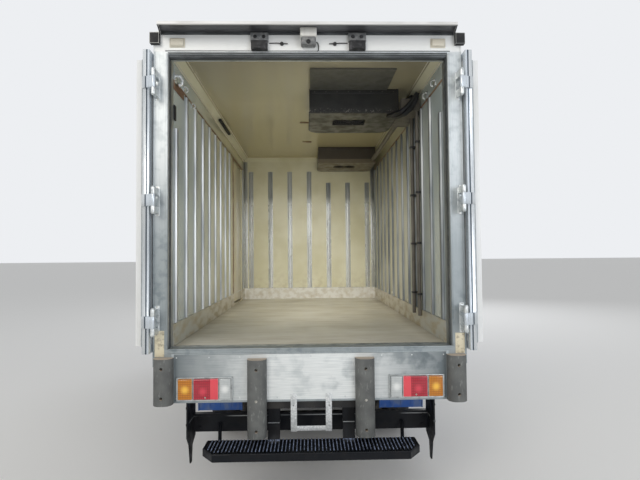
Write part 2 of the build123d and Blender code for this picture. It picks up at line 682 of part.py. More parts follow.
def cab_form(points, half):
    """Closed solid of a cab outline, upright to the belt and leaning in above it."""
    with BuildPart() as form:
        with BuildSketch(Plane.YZ.offset(-half)):
            with BuildLine():
                Polyline(*points, close=True)
            make_face()
        extrude(amount=2 * half)
        for side in (-1, 1):
            lean = Vector(side, 0, TUMBLEHOME)
            split(bisect_by=Plane(origin=(side * half, 0, BELT_Z), z_dir=lean), keep=Keep.BOTTOM)
    return form.part


DOOR = (
    (FRONT_AXLE_Y - 210, 1010.0),
    (FRONT_AXLE_Y + 160, 1010.0),
    (FRONT_AXLE_Y + 330, 900.0),
    (FRONT - 290, 900.0),
    (FRONT - 290, 1290.0),
    (FRONT - 560, 1790.0),
    (FRONT - 600, 1850.0),
    (FRONT_AXLE_Y - 210, 1872.0),
)
WINDOW = (
    (FRONT_AXLE_Y - 130, 1330.0),
    (FRONT - 390, 1330.0),
    (FRONT - 625, 1765.0),
    (FRONT_AXLE_Y - 130, 1790.0),
)


def outline_prism(points, grow, x0, x1):
    """Prism of a Y and Z outline, grown all round, from x0 to x1."""
    with BuildPart() as prism:
        with BuildSketch(Plane.YZ.offset(x0)):
            with BuildLine():
                Polyline(*points, close=True)
            make_face()
            if grow:
                offset(amount=grow, kind=Kind.INTERSECTION)
        extrude(amount=x1 - x0)
    return prism.part


HINGE_LINE = (862.0, FRONT - 287.0)
CAB_HINGES_Z = (1065.0, 1175.0)


def cab_hinge(side, z0, z1, reach):
    """One knuckle of a cab door hinge on the hinge line, and its leaf let into the skin at reach."""
    with Locations((side * HINGE_LINE[0], HINGE_LINE[1], (z0 + z1) / 2)):
        Cylinder(9, z1 - z0)
    x0, x1 = sorted((side * (CAB_HALF - 6), side * (HINGE_LINE[0] - 1)))
    y0, y1 = sorted((HINGE_LINE[1] + 5 * (1 if reach > HINGE_LINE[1] else -1), reach))
    block(x0, x1, y0, y1, z0, z1)


CAB_SHELL = cab_form(OUTER, CAB_HALF) - cab_form(INNER, CAB_HALF - CAB_WALL)
DOOR_REACH = (CAB_HALF - 180, CAB_HALF + 10)


def door_space(side, gap):
    """Room taken by a cab door and the gap round it, only skin deep beside the seat platform."""
    x0, x1 = sorted((side * DOOR_REACH[0], side * DOOR_REACH[1]))
    platform = sorted((0, side * (CAB_HALF - CAB_WALL - gap)))
    with BuildPart() as space:
        add(outline_prism(DOOR, gap, x0, x1))
        block(*platform, CAB_BACK, FRONT_AXLE_Y + 330, 800, 1000, mode=Mode.SUBTRACT)
    return space.part


with BuildPart() as cab_body:
    add(CAB_SHELL)
    for side in (-1, 1):
        add(door_space(side, DOOR_GAP), mode=Mode.SUBTRACT)
    # space under the seat platform for the engine and the wheels
    block(-CAB_HALF + 30, CAB_HALF - 30, CAB_BACK - 1, FRONT_AXLE_Y + 285, 700, 955, mode=Mode.SUBTRACT)
    block(-CAB_HALF + 30, CAB_HALF - 30, FRONT_AXLE_Y, FRONT_AXLE_Y + 426, 700, 850, mode=Mode.SUBTRACT)
    with Locations(Location((0, FRONT_AXLE_Y, AXLE_Z), (0, 90, 0))):
        Cylinder(448, 2 * CAB_HALF + 20, mode=Mode.SUBTRACT)
    # the nose clears the bumper as the cab tilts
    with Locations(Location((0, HINGE_Y, HINGE_Z), (0, 90, 0))):
        Cylinder(NOSE_SWING, 2 * CAB_HALF + 20, mode=Mode.SUBTRACT)
    # windscreen and rear window
    screen = Vector(0, SCREEN_FOOT[0] - SCREEN_HEAD[0], SCREEN_FOOT[1] - SCREEN_HEAD[1])
    screen_plane = Plane(
        origin=(0, (SCREEN_FOOT[0] + SCREEN_HEAD[0]) / 2, (SCREEN_FOOT[1] + SCREEN_HEAD[1]) / 2),
        x_dir=(1, 0, 0),
        z_dir=(0, -screen.Z, screen.Y),
    )
    with BuildSketch(screen_plane):
        with BuildLine():
            Polyline(*SCREEN_OPENING, close=True)
        make_face()
    extrude(amount=120, both=True, mode=Mode.SUBTRACT)
    block(-480, 480, CAB_BACK - 1, CAB_BACK + 60, 1420, 1760, mode=Mode.SUBTRACT)
    # hinge arms down to the pin
    for side in (-1, 1):
        x0, x1 = sorted((side * 370, side * 400))
        side_profile(
            [
                (HINGE_Y - 70, 895), (HINGE_Y - 22, HINGE_Z - 18), (HINGE_Y + 22, HINGE_Z - 18),
                (HINGE_Y + 26, 895),
            ],
            x0, x1,
        )
    rod((-420, HINGE_Y, HINGE_Z), (420, HINGE_Y, HINGE_Z), 15.5, mode=Mode.SUBTRACT)
    # pillar halves of the door hinges
    for side in (-1, 1):
        for z in CAB_HINGES_Z:
            for z0 in (z - 42, z + 21):
                cab_hinge(side, z0, z0 + 21, HINGE_LINE[1] + 36)

# The body split at its real seams: floor, back panel, roof, and the front with its pillars
FLOOR_SEAM = 1000.0
ROOF_SEAM = 1890.0
BACK_SEAM = CAB_BACK + 45.0
PANELS = (
    ("cab_floor", CAB_BACK, FRONT, 500.0, FLOOR_SEAM),
    ("cab_back", CAB_BACK, BACK_SEAM, FLOOR_SEAM, ROOF_SEAM),
    ("cab_roof", CAB_BACK, FRONT, ROOF_SEAM, 2000.0),
    ("cab_shell", BACK_SEAM, FRONT, FLOOR_SEAM, ROOF_SEAM),
)
for name, y0, y1, z0, z1 in PANELS:
    with BuildPart() as panel:
        block(-CAB_HALF - 50, CAB_HALF + 50, y0, y1, z0, z1)
        add(cab_body.part, mode=Mode.INTERSECT)
    panel.part.label = name
    export_step(panel.part, f"parts/{name}.step")

with BuildPart() as cab_glass:
    with BuildSketch(screen_plane.offset(-16)):
        with BuildLine():
            Polyline(*SCREEN_OPENING, close=True)
        make_face()
    extrude(amount=6)
    block(-480, 480, CAB_BACK + 18, CAB_BACK + 24, 1420, 1760)
cab_glass.part.label = "cab_glass"
export_step(cab_glass.part, "parts/cab_glass.step")

# Cab doors cut from the same skin, and their glass
for name, side in SIDES:
    x0, x1 = sorted((side * DOOR_REACH[0], side * DOOR_REACH[1]))
    with BuildPart() as cab_door:
        add(CAB_SHELL)
        add(door_space(side, 0), mode=Mode.INTERSECT)
        add(outline_prism(WINDOW, 0, x0, x1), mode=Mode.SUBTRACT)
        for z in CAB_HINGES_Z:
            cab_hinge(side, z - 20, z + 20, HINGE_LINE[1] - 36)
    cab_door.part.label = f"cab_door_{name}"
    export_step(cab_door.part, f"parts/cab_door_{name}.step")

    with BuildPart() as cab_door_glass:
        add(cab_form(OUTER, CAB_HALF - 14) - cab_form(OUTER, CAB_HALF - 19))
        add(outline_prism(WINDOW, 0, x0, x1), mode=Mode.INTERSECT)
    cab_door_glass.part.label = f"cab_door_glass_{name}"
    export_step(cab_door_glass.part, f"parts/cab_door_glass_{name}.step")

# Driver's seat on the right, double seat on the left: cushions, backs and bases
SEATS = ((-760.0, 90.0), (160.0, 680.0))
with BuildPart() as seats:
    for x0, x1 in SEATS:
        side_profile(
            [
                (CAB_BACK + 190, 1000), (CAB_BACK + 700, 1000), (CAB_BACK + 720, 1090),
                (CAB_BACK + 700, 1135), (CAB_BACK + 260, 1120), (CAB_BACK + 130, 1640),
                (CAB_BACK + 70, 1640), (CAB_BACK + 100, 1120),
            ],
            x0, x1,
        )
seats.part.label = "seats"
export_step(seats.part, "parts/seats.step")

# Dashboard against the front panel, with the fixed tube of the steering column
WHEEL_CENTRE = Vector(430, FRONT - 560, 1330)
WHEEL_AXIS = Vector(0, -0.5, 0.866)
SHAFT_LENGTH = 118.0
with BuildPart() as dashboard:
    side_profile(
        [
            (FRONT - 78, 1240), (FRONT - 300, 1262), (FRONT - 400, 1220), (FRONT - 420, 1120),
            (FRONT - 330, 1060), (FRONT - 40, 1030),
        ],
        -790, 790,
    )
    rod(WHEEL_CENTRE - WHEEL_AXIS * (SHAFT_LENGTH + 4), WHEEL_CENTRE - WHEEL_AXIS * 520, 26)
    add(CAB_SHELL, mode=Mode.SUBTRACT)
    block(-CAB_HALF, CAB_HALF, FRONT - 400, FRONT + 50, 700, 862, mode=Mode.SUBTRACT)
dashboard.part.label = "dashboard"
export_step(dashboard.part, "parts/dashboard.step")

# Door mirrors on tubular arms, and the grille between the lamps
MIRROR_Y = FRONT - 150.0
with BuildPart() as mirrors:
    for side in (-1, 1):
        upright = Vector(side, 0, 0)
        lean = Vector(side, 0, TUMBLEHOME).normalized()
        low_foot = Vector(side * CAB_HALF, FRONT - 262, BELT_Z - 30)
        high_foot = Vector(side * (CAB_HALF - TUMBLEHOME * 510), FRONT - 410, BELT_Z + 510)
        post = (Vector(side * 955, MIRROR_Y, 1440), Vector(side * 955, MIRROR_Y, 1750))
        rod(*post, 11)
        for foot, out, end in ((low_foot, upright, post[0]), (high_foot, lean, post[1])):
            rod(foot, foot + out * 14, 20)
            rod(foot + out * 12, end, 11)
            with Locations(end):
                Sphere(12.5)
        x0, x1 = sorted((side * 885, side * 1025))
        block(x0, x1, MIRROR_Y - 42, MIRROR_Y - 8, 1470, 1720)
mirrors.part.label = "mirrors"
export_step(mirrors.part, "parts/mirrors.step")

with BuildPart() as front_grille:
    for i in range(4):
        z = 862 + i * 32
        block(-560, 560, FRONT - 8, FRONT - 2, z, z + 18)
    block(-600, 600, FRONT - 8, FRONT - 4, 848, 992)
front_grille.part.label = "front_grille"
export_step(front_grille.part, "parts/front_grille.step")

# Steering wheel and its short shaft, over the driver's knees
with BuildPart() as steering_wheel:
    with BuildSketch(Plane(origin=WHEEL_CENTRE, x_dir=(1, 0, 0), z_dir=WHEEL_AXIS)):
        Circle(44)
        for angle in (90, 210, 330):
            with Locations(Location((0, 0, 0), (0, 0, angle))):
                with Locations((95, 0)):
                    Rectangle(190, 26)
    extrude(amount=16)
    with Locations(Plane(origin=WHEEL_CENTRE + WHEEL_AXIS * 8, x_dir=(1, 0, 0), z_dir=WHEEL_AXIS)):
        Torus(195, 14)
    rod(WHEEL_CENTRE, WHEEL_CENTRE - WHEEL_AXIS * SHAFT_LENGTH, 22)
steering_wheel.part.label = "steering_wheel"
export_step(steering_wheel.part, "parts/steering_wheel.step")


def turned(centre, side, points):
    """Solid of revolution about a wheel's axis: radius against distance outwards."""
    with BuildSketch(Plane(origin=centre, x_dir=(0, 0, 1), z_dir=(0, side, 0))) as section:
        with BuildLine():
            Polyline(*points, close=True)
        make_face()
    revolve(section.sketch, axis=Axis(centre, (1, 0, 0)))


HALF_TYRE = TYRE_WIDTH / 2
TYRE_SECTION = (
    (RIM_RADIUS, -70), (RIM_RADIUS + 30, -HALF_TYRE + 4), (TYRE_RADIUS - 45, -HALF_TYRE),
    (TYRE_RADIUS - 12, -HALF_TYRE + 12), (TYRE_RADIUS, -HALF_TYRE + 34), (TYRE_RADIUS, HALF_TYRE - 34),
    (TYRE_RADIUS - 12, HALF_TYRE - 12), (TYRE_RADIUS - 45, HALF_TYRE), (RIM_RADIUS + 30, HALF_TYRE - 4),
    (RIM_RADIUS, 70),
)
FRONT_RIM_SECTION = (
    (RIM_RADIUS, -88), (RIM_RADIUS, 88), (RIM_RADIUS - 12, 88), (RIM_RADIUS - 16, 60), (150, 52),
    (95, 58), (80, 66), (80, 84), (30, 84), (30, -32), (70, -32), (76, 36), (140, 30),
    (RIM_RADIUS - 24, 34), (RIM_RADIUS - 10, -88),
)
TWIN_RIM_SECTION = (
    (RIM_RADIUS, 27), (RIM_RADIUS, 203), (RIM_RADIUS - 12, 203), (RIM_RADIUS - 16, 60), (150, 30),
    (100, 8), (95, 70), (60, 100), (0, 100), (0, -60), (90, -60), (95, -8), (150, -30),
    (RIM_RADIUS - 16, -60), (RIM_RADIUS - 12, -203), (RIM_RADIUS, -203), (RIM_RADIUS, -27), (150, 0),
)

# Front wheels, with their knuckles and kingpins
for name, side in SIDES:
    centre = (side * FRONT_TYRE_X, FRONT_AXLE_Y, AXLE_Z)
    with BuildPart() as front_tyre:
        turned(centre, side, TYRE_SECTION)
    front_tyre.part.label = f"front_tyre_{name}"
    export_step(front_tyre.part, f"parts/front_tyre_{name}.step")

    with BuildPart() as front_rim:
        turned(centre, side, FRONT_RIM_SECTION)
    front_rim.part.label = f"front_rim_{name}"
    export_step(front_rim.part, f"parts/front_rim_{name}.step")

    with BuildPart() as knuckle:
        x0, x1 = sorted((side * (KINGPIN_X + 42), side * (KINGPIN_X + 62)))
        block(x0, x1, FRONT_AXLE_Y - 60, FRONT_AXLE_Y + 60, AXLE_Z - 82, AXLE_Z + 82)
        for z0 in (AXLE_Z - 82, AXLE_Z + 36):
            x0, x1 = sorted((side * (KINGPIN_X - 28), side * (KINGPIN_X + 44)))
            block(x0, x1, FRONT_AXLE_Y - 28, FRONT_AXLE_Y + 28, z0, z0 + 46)
        rod(
            (side * KINGPIN_X, FRONT_AXLE_Y, AXLE_Z - 80),
            (side * KINGPIN_X, FRONT_AXLE_Y, AXLE_Z + 80), 16,
        )
        rod(
            (side * (KINGPIN_X + 50), FRONT_AXLE_Y, AXLE_Z),
            (side * (FRONT_TYRE_X + 70), FRONT_AXLE_Y, AXLE_Z), 29,
        )
    knuckle.part.label = f"knuckle_{name}"
    export_step(knuckle.part, f"parts/knuckle_{name}.step")

# Twin rear wheels on each side
for name, side in SIDES:
    with BuildPart() as rear_tyres:
        for x in REAR_TYRE_X:
            turned((side * x, REAR_AXLE_Y, AXLE_Z), side, TYRE_SECTION)
    rear_tyres.part.label = f"rear_tyres_{name}"
    export_step(rear_tyres.part, f"parts/rear_tyres_{name}.step")

    with BuildPart() as rear_rims:
        turned((side * sum(REAR_TYRE_X) / 2, REAR_AXLE_Y, AXLE_Z), side, TWIN_RIM_SECTION)
    rear_rims.part.label = f"rear_rims_{name}"
    export_step(rear_rims.part, f"parts/rear_rims_{name}.step")

# Rear doors, drawn folded right back along the sides, as they stand
DOOR_AXIS = (905.0, REAR - 76.0)
LEAF_Z = (950.0, 2736.0)
PLUG_Z = (990.0, 2690.0)
LEAF = (31.0, 71.0)
PLUG = (71.0, 126.0)
LEAF_REACH = (25.0, 900.0)
PLUG_REACH = (72.0, 890.0)
HINGES_Z = (1136.0, 1842.0, 2535.0)
ROD_REACH = DOOR_AXIS[0] - 294.0
for name, side in SIDES:
    axis_x, axis_y = side * DOOR_AXIS[0], DOOR_AXIS[1]

    def door_block(across, along, z0, z1, mode=Mode.ADD):
        x0, x1 = sorted((axis_x + side * across[0], axis_x + side * across[1]))
        block(x0, x1, axis_y + along[0], axis_y + along[1], z0, z1, mode=mode)

    with BuildPart() as rear_door:
        door_block(LEAF, LEAF_REACH, *LEAF_Z)
        door_block(PLUG, PLUG_REACH, *PLUG_Z)
        # recess for the lock rod in the outside face
        door_block((LEAF[0] - 1, LEAF[0] + 26), (ROD_REACH - 28, ROD_REACH + 28), LEAF_Z[0] - 1, LEAF_Z[1] + 1,
                   mode=Mode.SUBTRACT)
        for z in (LEAF_Z[0] + 60, 1500, 2150, LEAF_Z[1] - 90):
            door_block((LEAF[0] + 2, LEAF[0] + 27), (ROD_REACH - 29, ROD_REACH + 29), z, z + 30)
        rod(
            (axis_x + side * (LEAF[0] + 13), axis_y + ROD_REACH, LEAF_Z[0] + 4),
            (axis_x + side * (LEAF[0] + 13), axis_y + ROD_REACH, LEAF_Z[1] - 4), 9,
        )
        for z in HINGES_Z:
            plan_profile(
                [
                    (axis_x, axis_y - 11), (axis_x + side * LEAF[1], axis_y + 14),
                    (axis_x + side * LEAF[1], axis_y + 26), (axis_x + side * LEAF[0], axis_y + 26),
                    (axis_x, axis_y + 11),
                ],
                z - 34, z + 34,
            )
            with Locations((axis_x, axis_y, z)):
                Cylinder(13, 68)
                Cylinder(6.5, 70, mode=Mode.SUBTRACT)
    rear_door.part.label = f"rear_door_{name}"
    export_step(rear_door.part, f"parts/rear_door_{name}.step")

# Frame halves of the hinges, with their pins
with BuildPart() as rear_hinges:
    for side in (-1, 1):
        x = side * DOOR_AXIS[0]
        for z in HINGES_Z:
            for z0 in (z - 75, z + 35):
                block(x - 12, x + 12, DOOR_AXIS[1], REAR, z0, z0 + 40)
                with Locations((x, DOOR_AXIS[1], z0 + 20)):
                    Cylinder(13, 40)
            with Locations((x, DOOR_AXIS[1], z)):
                Cylinder(6, 150)
rear_hinges.part.label = "rear_hinges"
export_step(rear_hinges.part, "parts/rear_hinges.step")

# Side door in the left wall, hinged at its front edge, and its handle
SIDE_AXIS = (-BODY_HALF - 50.0, SIDE_DOOR_Y[1] + 42.0)
SIDE_HINGES_Z = (1180.0, 1790.0, 2400.0)
with BuildPart() as side_door:
    block(-BODY_HALF - 35, -BODY_HALF - 5, SIDE_DOOR_Y[0] - 25, SIDE_DOOR_Y[1] + 22, 962, 2612)
    block(-BODY_HALF - 5, -INNER_HALF - 6, SIDE_DOOR_Y[0] + 28, SIDE_DOOR_Y[1] - 16, 1003, 2572)
    block(-BODY_HALF - 62, -BODY_HALF - 35, SIDE_DOOR_Y[0] + 20, SIDE_DOOR_Y[0] + 60, 1500, 1760)
    for z in SIDE_HINGES_Z:
        block(SIDE_AXIS[0] - 5, SIDE_AXIS[0] + 15, SIDE_DOOR_Y[1] - 60, SIDE_AXIS[1], z - 30, z + 30)
        with Locations((*SIDE_AXIS, z)):
            Cylinder(13, 60)
            Cylinder(6.5, 62, mode=Mode.SUBTRACT)
side_door.part.label = "side_door"
export_step(side_door.part, "parts/side_door.step")

with BuildPart() as side_hinges:
    for z in SIDE_HINGES_Z:
        for z0 in (z - 66, z + 31):
            block(SIDE_AXIS[0], -BODY_HALF, SIDE_AXIS[1] + 2, SIDE_AXIS[1] + 60, z0, z0 + 35)
            with Locations((*SIDE_AXIS, z0 + 17.5)):
                Cylinder(13, 35)
        with Locations((*SIDE_AXIS, z)):
            Cylinder(6, 130)
side_hinges.part.label = "side_hinges"
export_step(side_hinges.part, "parts/side_hinges.step")
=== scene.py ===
import math
import bmesh
import bpy
from mathutils import Matrix, Vector


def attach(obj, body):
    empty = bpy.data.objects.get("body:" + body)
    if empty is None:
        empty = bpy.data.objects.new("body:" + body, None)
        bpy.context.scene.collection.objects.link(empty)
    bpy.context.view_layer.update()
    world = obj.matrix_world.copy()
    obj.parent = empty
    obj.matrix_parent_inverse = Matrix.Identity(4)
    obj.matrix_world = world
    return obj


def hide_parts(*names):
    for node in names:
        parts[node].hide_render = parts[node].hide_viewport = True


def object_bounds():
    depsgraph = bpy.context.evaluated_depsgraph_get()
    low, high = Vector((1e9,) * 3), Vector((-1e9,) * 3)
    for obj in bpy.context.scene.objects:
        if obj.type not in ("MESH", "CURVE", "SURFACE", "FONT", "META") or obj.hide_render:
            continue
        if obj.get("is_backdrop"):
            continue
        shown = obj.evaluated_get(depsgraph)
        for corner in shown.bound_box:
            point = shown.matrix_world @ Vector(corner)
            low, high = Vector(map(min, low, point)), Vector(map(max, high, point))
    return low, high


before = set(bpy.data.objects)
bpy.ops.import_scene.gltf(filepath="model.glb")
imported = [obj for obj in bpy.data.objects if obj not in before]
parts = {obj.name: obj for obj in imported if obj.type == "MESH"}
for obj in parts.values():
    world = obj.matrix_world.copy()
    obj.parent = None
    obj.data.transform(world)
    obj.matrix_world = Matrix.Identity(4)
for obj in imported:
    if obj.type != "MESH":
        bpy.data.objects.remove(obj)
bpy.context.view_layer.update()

# Ladder frame. Two pressed channel rails and riveted cross-members of rolled steel, with the cab hinge pin.
# Brushed with black chassis paint, which road dust has turned brown-grey on its tops.


def linear(code):
    """Linear colour of an sRGB hex code such as #191A1D."""
    shares = [int(code[i:i + 2], 16) / 255 for i in (1, 3, 5)]
    return (*(c / 12.92 if c <= 0.04045 else ((c + 0.055) / 1.055) ** 2.4 for c in shares), 1.0)


def wire(tree, node, inputs):
    """Sets a node's inputs: another node's output is linked, and a hex code goes in as linear colour."""
    for socket, value in inputs.items():
        if isinstance(value, bpy.types.NodeSocket):
            tree.links.new(value, node.inputs[socket])
        elif isinstance(value, str) and value.startswith("#"):
            node.inputs[socket].default_value = linear(value)
        else:
            node.inputs[socket].default_value = value


# what a Mix node needs to mix two colours, on its sockets 6 and 7
COLOUR = {"out": 2, "data_type": "RGBA"}


def put(tree, kind, inputs={}, out=0, **settings):
    """Adds one node with its settings and inputs, and gives one of its outputs, or all if out is None.

    A shader node's kind is given without its first part, as Math or Mix.
    """
    node = tree.nodes.new(kind if "Node" in kind else "ShaderNode" + kind)
    for word, value in settings.items():
        setattr(node, word, value)
    wire(tree, node, inputs)
    return node.outputs if out is None else node.outputs[out]


def surface(name, metallic=0.0, roughness=0.5, **sockets):
    """A new material: its tree, its shader, and the object's own coordinates in metres."""
    material = bpy.data.materials.new(name)
    material.use_nodes = True
    tree = material.node_tree
    shader = tree.nodes["Principled BSDF"]
    values = {word.replace("_", " "): value for word, value in sockets.items()}
    wire(tree, shader, {"Metallic": metallic, "Roughness": roughness, **values})
    return material, tree, shader, put(tree, "TexCoord", out="Object")


def patches(tree, place, size_mm, low=0.4, high=0.65, stretch=(1, 1, 1), detail=4.0):
    """Soft patches about size_mm across, from 0 to 1, longer along any axis with a small stretch."""
    drawn = put(tree, "Mapping", {"Vector": place, "Scale": stretch})
    cloud = put(tree, "TexNoise", {"Vector": drawn, "Scale": 1000 / size_mm, "Detail": detail})
    return put(tree, "MapRange", {"Value": cloud, 1: low, 2: high}, interpolation_type="SMOOTHSTEP")


def weather(tree, shader, wear, fresh, aged, gloss=None, relief=None):
    """Colours a finish from fresh to aged by a share of wear.

    gloss is the roughness of both, and relief a height, how much of it shows and how deep it is.
    """
    inputs = {"Base Color": put(tree, "Mix", {0: wear, 6: fresh, 7: aged}, **COLOUR)}
    if gloss:
        inputs["Roughness"] = put(tree, "MapRange", {"Value": wear, 3: gloss[0], 4: gloss[1]})
    if relief:
        height, strength, depth = relief
        inputs["Normal"] = put(tree, "Bump", {"Height": height, "Strength": strength, "Distance": depth})
    wire(tree, shader, inputs)


def facing_up(tree, low=0.3, high=0.95):
    """1 on faces that look up, where dust settles, or down if both limits are below nought."""
    normal = put(tree, "NewGeometry", out="Normal")
    rise = put(tree, "SeparateXYZ", {"Vector": normal}, out="Z")
    return put(tree, "MapRange", {"Value": rise, 1: low, 2: high})


def dress(material, slot, *names):
    """Carried-over solids take their finish."""
    for name in names:
        node = parts[name]
        node.data.materials.clear()
        node.data.materials.append(material)


def geometry_tree(name, **sockets):
    """A new tree of geometry nodes and its inputs, which have the given names and kinds."""
    tree = bpy.data.node_groups.new(name, "GeometryNodeTree")
    tree.interface.new_socket("Geometry", in_out="OUTPUT", socket_type="NodeSocketGeometry")
    for label, kind in sockets.items():
        tree.interface.new_socket(label, in_out="INPUT", socket_type=f"NodeSocket{kind}")
    return tree, tree.nodes.new("NodeGroupInput").outputs


def end_tree(tree, copies, finish):
    """Ends a tree: its copies become plain geometry in one finish."""
    real = put(tree, "GeometryNodeRealizeInstances", {"Geometry": copies})
    coated = put(tree, "GeometryNodeSetMaterial", {"Geometry": real, "Material": finish})
    tree.links.new(coated, tree.nodes.new("NodeGroupOutput").inputs[0])


# Fastener heads: a chamfered head on a washer at each point, turned to the way the point faces
heads, given = geometry_tree("fastener_heads", Places="Geometry", Radius="Float", Height="Float",
                             Sides="Int", Washer="Float", Finish="Material")
head = put(heads, "GeometryNodeMeshCone", {
    "Vertices": given["Sides"], "Radius Bottom": given["Radius"], "Depth": given["Height"],
    "Radius Top": put(heads, "Math", {0: given["Radius"], 1: 0.82}, operation="MULTIPLY")})
washer = put(heads, "GeometryNodeMeshCone", {
    "Vertices": 12, "Radius Bottom": given["Washer"], "Depth": 0.0016,
    "Radius Top": put(heads, "Math", {0: given["Washer"], 1: 0.9}, operation="MULTIPLY")})
both = heads.nodes.new("GeometryNodeJoinGeometry")
heads.links.new(head, both.inputs[0])
heads.links.new(washer, both.inputs[0])
facing = put(heads, "GeometryNodeInputNamedAttribute", {"Name": "facing"}, data_type="FLOAT_VECTOR")
turn = put(heads, "FunctionNodeAlignRotationToVector", {"Vector": facing}, axis="Z")
stood = put(heads, "GeometryNodeInstanceOnPoints", {
    "Points": given["Places"], "Instance": both.outputs[0], "Rotation": turn})
end_tree(heads, stood, given["Finish"])


def placed(name, mesh, body, crease):
    """Puts a mesh in the scene, smooth but for edges sharper than crease, and rides it on its body."""
    mesh.shade_smooth()
    mesh.set_sharp_from_angle(angle=math.radians(crease))
    obj = bpy.data.objects.new(name, mesh)
    bpy.context.scene.collection.objects.link(obj)
    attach(obj, body)
    return obj


def grown(name, source, tree, settings, body):
    """Runs a node tree on a mesh of points and keeps the result as a plain mesh on its body."""
    host = bpy.data.objects.new(name + "_points", source)
    bpy.context.scene.collection.objects.link(host)
    modifier = host.modifiers.new("grow", "NODES")
    modifier.node_group = tree
    for item in tree.interface.items_tree:
        if item.in_out == "INPUT" and item.name in settings:
            modifier[item.identifier] = settings[item.name]
    depsgraph = bpy.context.evaluated_depsgraph_get()
    mesh = bpy.data.meshes.new_from_object(host.evaluated_get(depsgraph), depsgraph=depsgraph)
    bpy.data.objects.remove(host)
    mesh.name = name
    return placed(name, mesh, body, 35)


def fasteners(name, spots, radius, height, sides, washer, material, body):
    """Heads at spots, each a place and the way it faces."""
    source = bpy.data.meshes.new(name + "_points")
    source.from_pydata([spot for spot, _ in spots], [], [])
    ways = source.attributes.new("facing", "FLOAT_VECTOR", "POINT")
    for i, (_, way) in enumerate(spots):
        ways.data[i].vector = way
    settings = {"Radius": radius, "Height": height, "Sides": sides, "Washer": washer, "Finish": material}
    return grown(name, source, heads, settings, body)


# Chassis paint over rolled steel: soft black with brown dust, so only its edges and sides shine a little
chassis_paint, tree, shader, place = surface("chassis_paint_on_rolled_steel", roughness=0.5)
dusty = patches(tree, place, 90, 0.35, 0.7, detail=7)
settled = put(tree, "Math", {0: dusty, 1: facing_up(tree)}, operation="MULTIPLY")
haze = put(tree, "Math", {0: dusty, 1: 0.22, 2: settled}, operation="MULTIPLY_ADD", use_clamp=True)
grain = put(tree, "TexNoise", {"Vector": place, "Scale": 420, "Detail": 3})
weather(tree, shader, haze, "#191A1D", "#6E675C", gloss=(0.36, 0.85), relief=(grain, 0.25, 0.001))
dress(chassis_paint, "chassis_black", "chassis_frame")

REAR = -2.470
FRONT = 2.620
CROSS_MEMBERS = (REAR + 0.09, REAR + 0.9, REAR + 2.1, REAR + 2.9, FRONT - 1.58, FRONT - 0.24)
spots = []
for side in (-1, 1):
    for y in CROSS_MEMBERS[1:]:
        for dy in (-0.045, 0.0):
            for z in (0.605, 0.665, 0.725):
                spots.append(((side * 0.3515, y + dy, z), (side, 0, 0)))
fasteners("frame_rivets", spots, 0.011, 0.007, 10, 0.013, chassis_paint, "truck")

# Live rear axle and dropped front beam. Cast casings, forged beam and rolled leaf springs clamped by U-bolts.
# Dipped black, with oily dust; the brake drums and backing plates are bolted to their ends.


def aged_finish(name, fresh, aged, size_mm, low, high, stretch=(1, 1, 1), detail=4.0, gloss=None, grain=None,
                **sockets):
    """A whole finish that turns from fresh to aged in patches about size_mm across.

    grain is the scale, detail, strength and depth of a fine relief.
    """
    material, tree, shader, place = surface(name, **sockets)
    wear = patches(tree, place, size_mm, low, high, stretch, detail)
    relief = None
    if grain:
        height = put(tree, "TexNoise", {"Vector": place, "Scale": grain[0], "Detail": grain[1]})
        relief = (height, *grain[2:])
    weather(tree, shader, wear, fresh, aged, gloss, relief)
    return material


# Dipped black paint over rough castings: dull where oily dust sticks, with a slight shine between
axle_paint = aged_finish("oily_black_paint_on_castings", "#15161A", "#4D4740", 70, 0.42, 0.62, detail=6,
                         gloss=(0.3, 0.78), grain=(650, 2, 0.5, 0.0012), roughness=0.5)
dress(axle_paint, "axle_black", "rear_axle", "front_axle")
dress(axle_paint, "knuckle_iron", "knuckle_left", "knuckle_right")
WHEEL_Y = {"front": FRONT - 1.04, "rear": REAR + 1.51}
AXLE_Z = 0.348


def piece(name, bm, material, body, slot, *covers, crease=35):
    """Makes the object, rides it on its body, and hides the solids that it stands for."""
    bmesh.ops.recalc_face_normals(bm, faces=bm.faces[:])
    mesh = bpy.data.meshes.new(name)
    bm.to_mesh(mesh)
    bm.free()
    mesh.materials.append(material)
    obj = placed(name, mesh, body, crease)
    if covers:
        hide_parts(*covers)
    return obj


def tube(bm, points, radius, sides=12, closed=False):
    """Round bar through points, of one radius or one for each, with closed ends unless it is a ring."""
    path = [Vector(p) for p in points]
    count = len(path)
    rings = []
    across = None
    for i, point in enumerate(path):
        before = path[i - 1] if closed or i else path[0]
        after = path[(i + 1) % count] if closed or i < count - 1 else path[-1]
        along = (after - before).normalized()
        if across is None:
            across = along.orthogonal().normalized()
        across = (across - along * across.dot(along)).normalized()
        other = along.cross(across)
        turns = [math.tau * k / sides for k in range(sides)]
        size = radius[i] if isinstance(radius, (list, tuple)) else radius
        rings.append([bm.verts.new(point + (across * math.cos(t) + other * math.sin(t)) * size)
                      for t in turns])
    for i in range(count if closed else count - 1):
        first, second = rings[i], rings[(i + 1) % count]
        shift = 0
        if i == count - 1:
            start = first[0].co
            shift = min(range(sides), key=lambda k: (second[k].co - start).length)
        for k in range(sides):
            m, n = (k + shift) % sides, (k + 1 + shift) % sides
            bm.faces.new((first[k], first[(k + 1) % sides], second[n], second[m]))
    if not closed:
        bm.faces.new(rings[0][::-1])
        bm.faces.new(rings[-1])


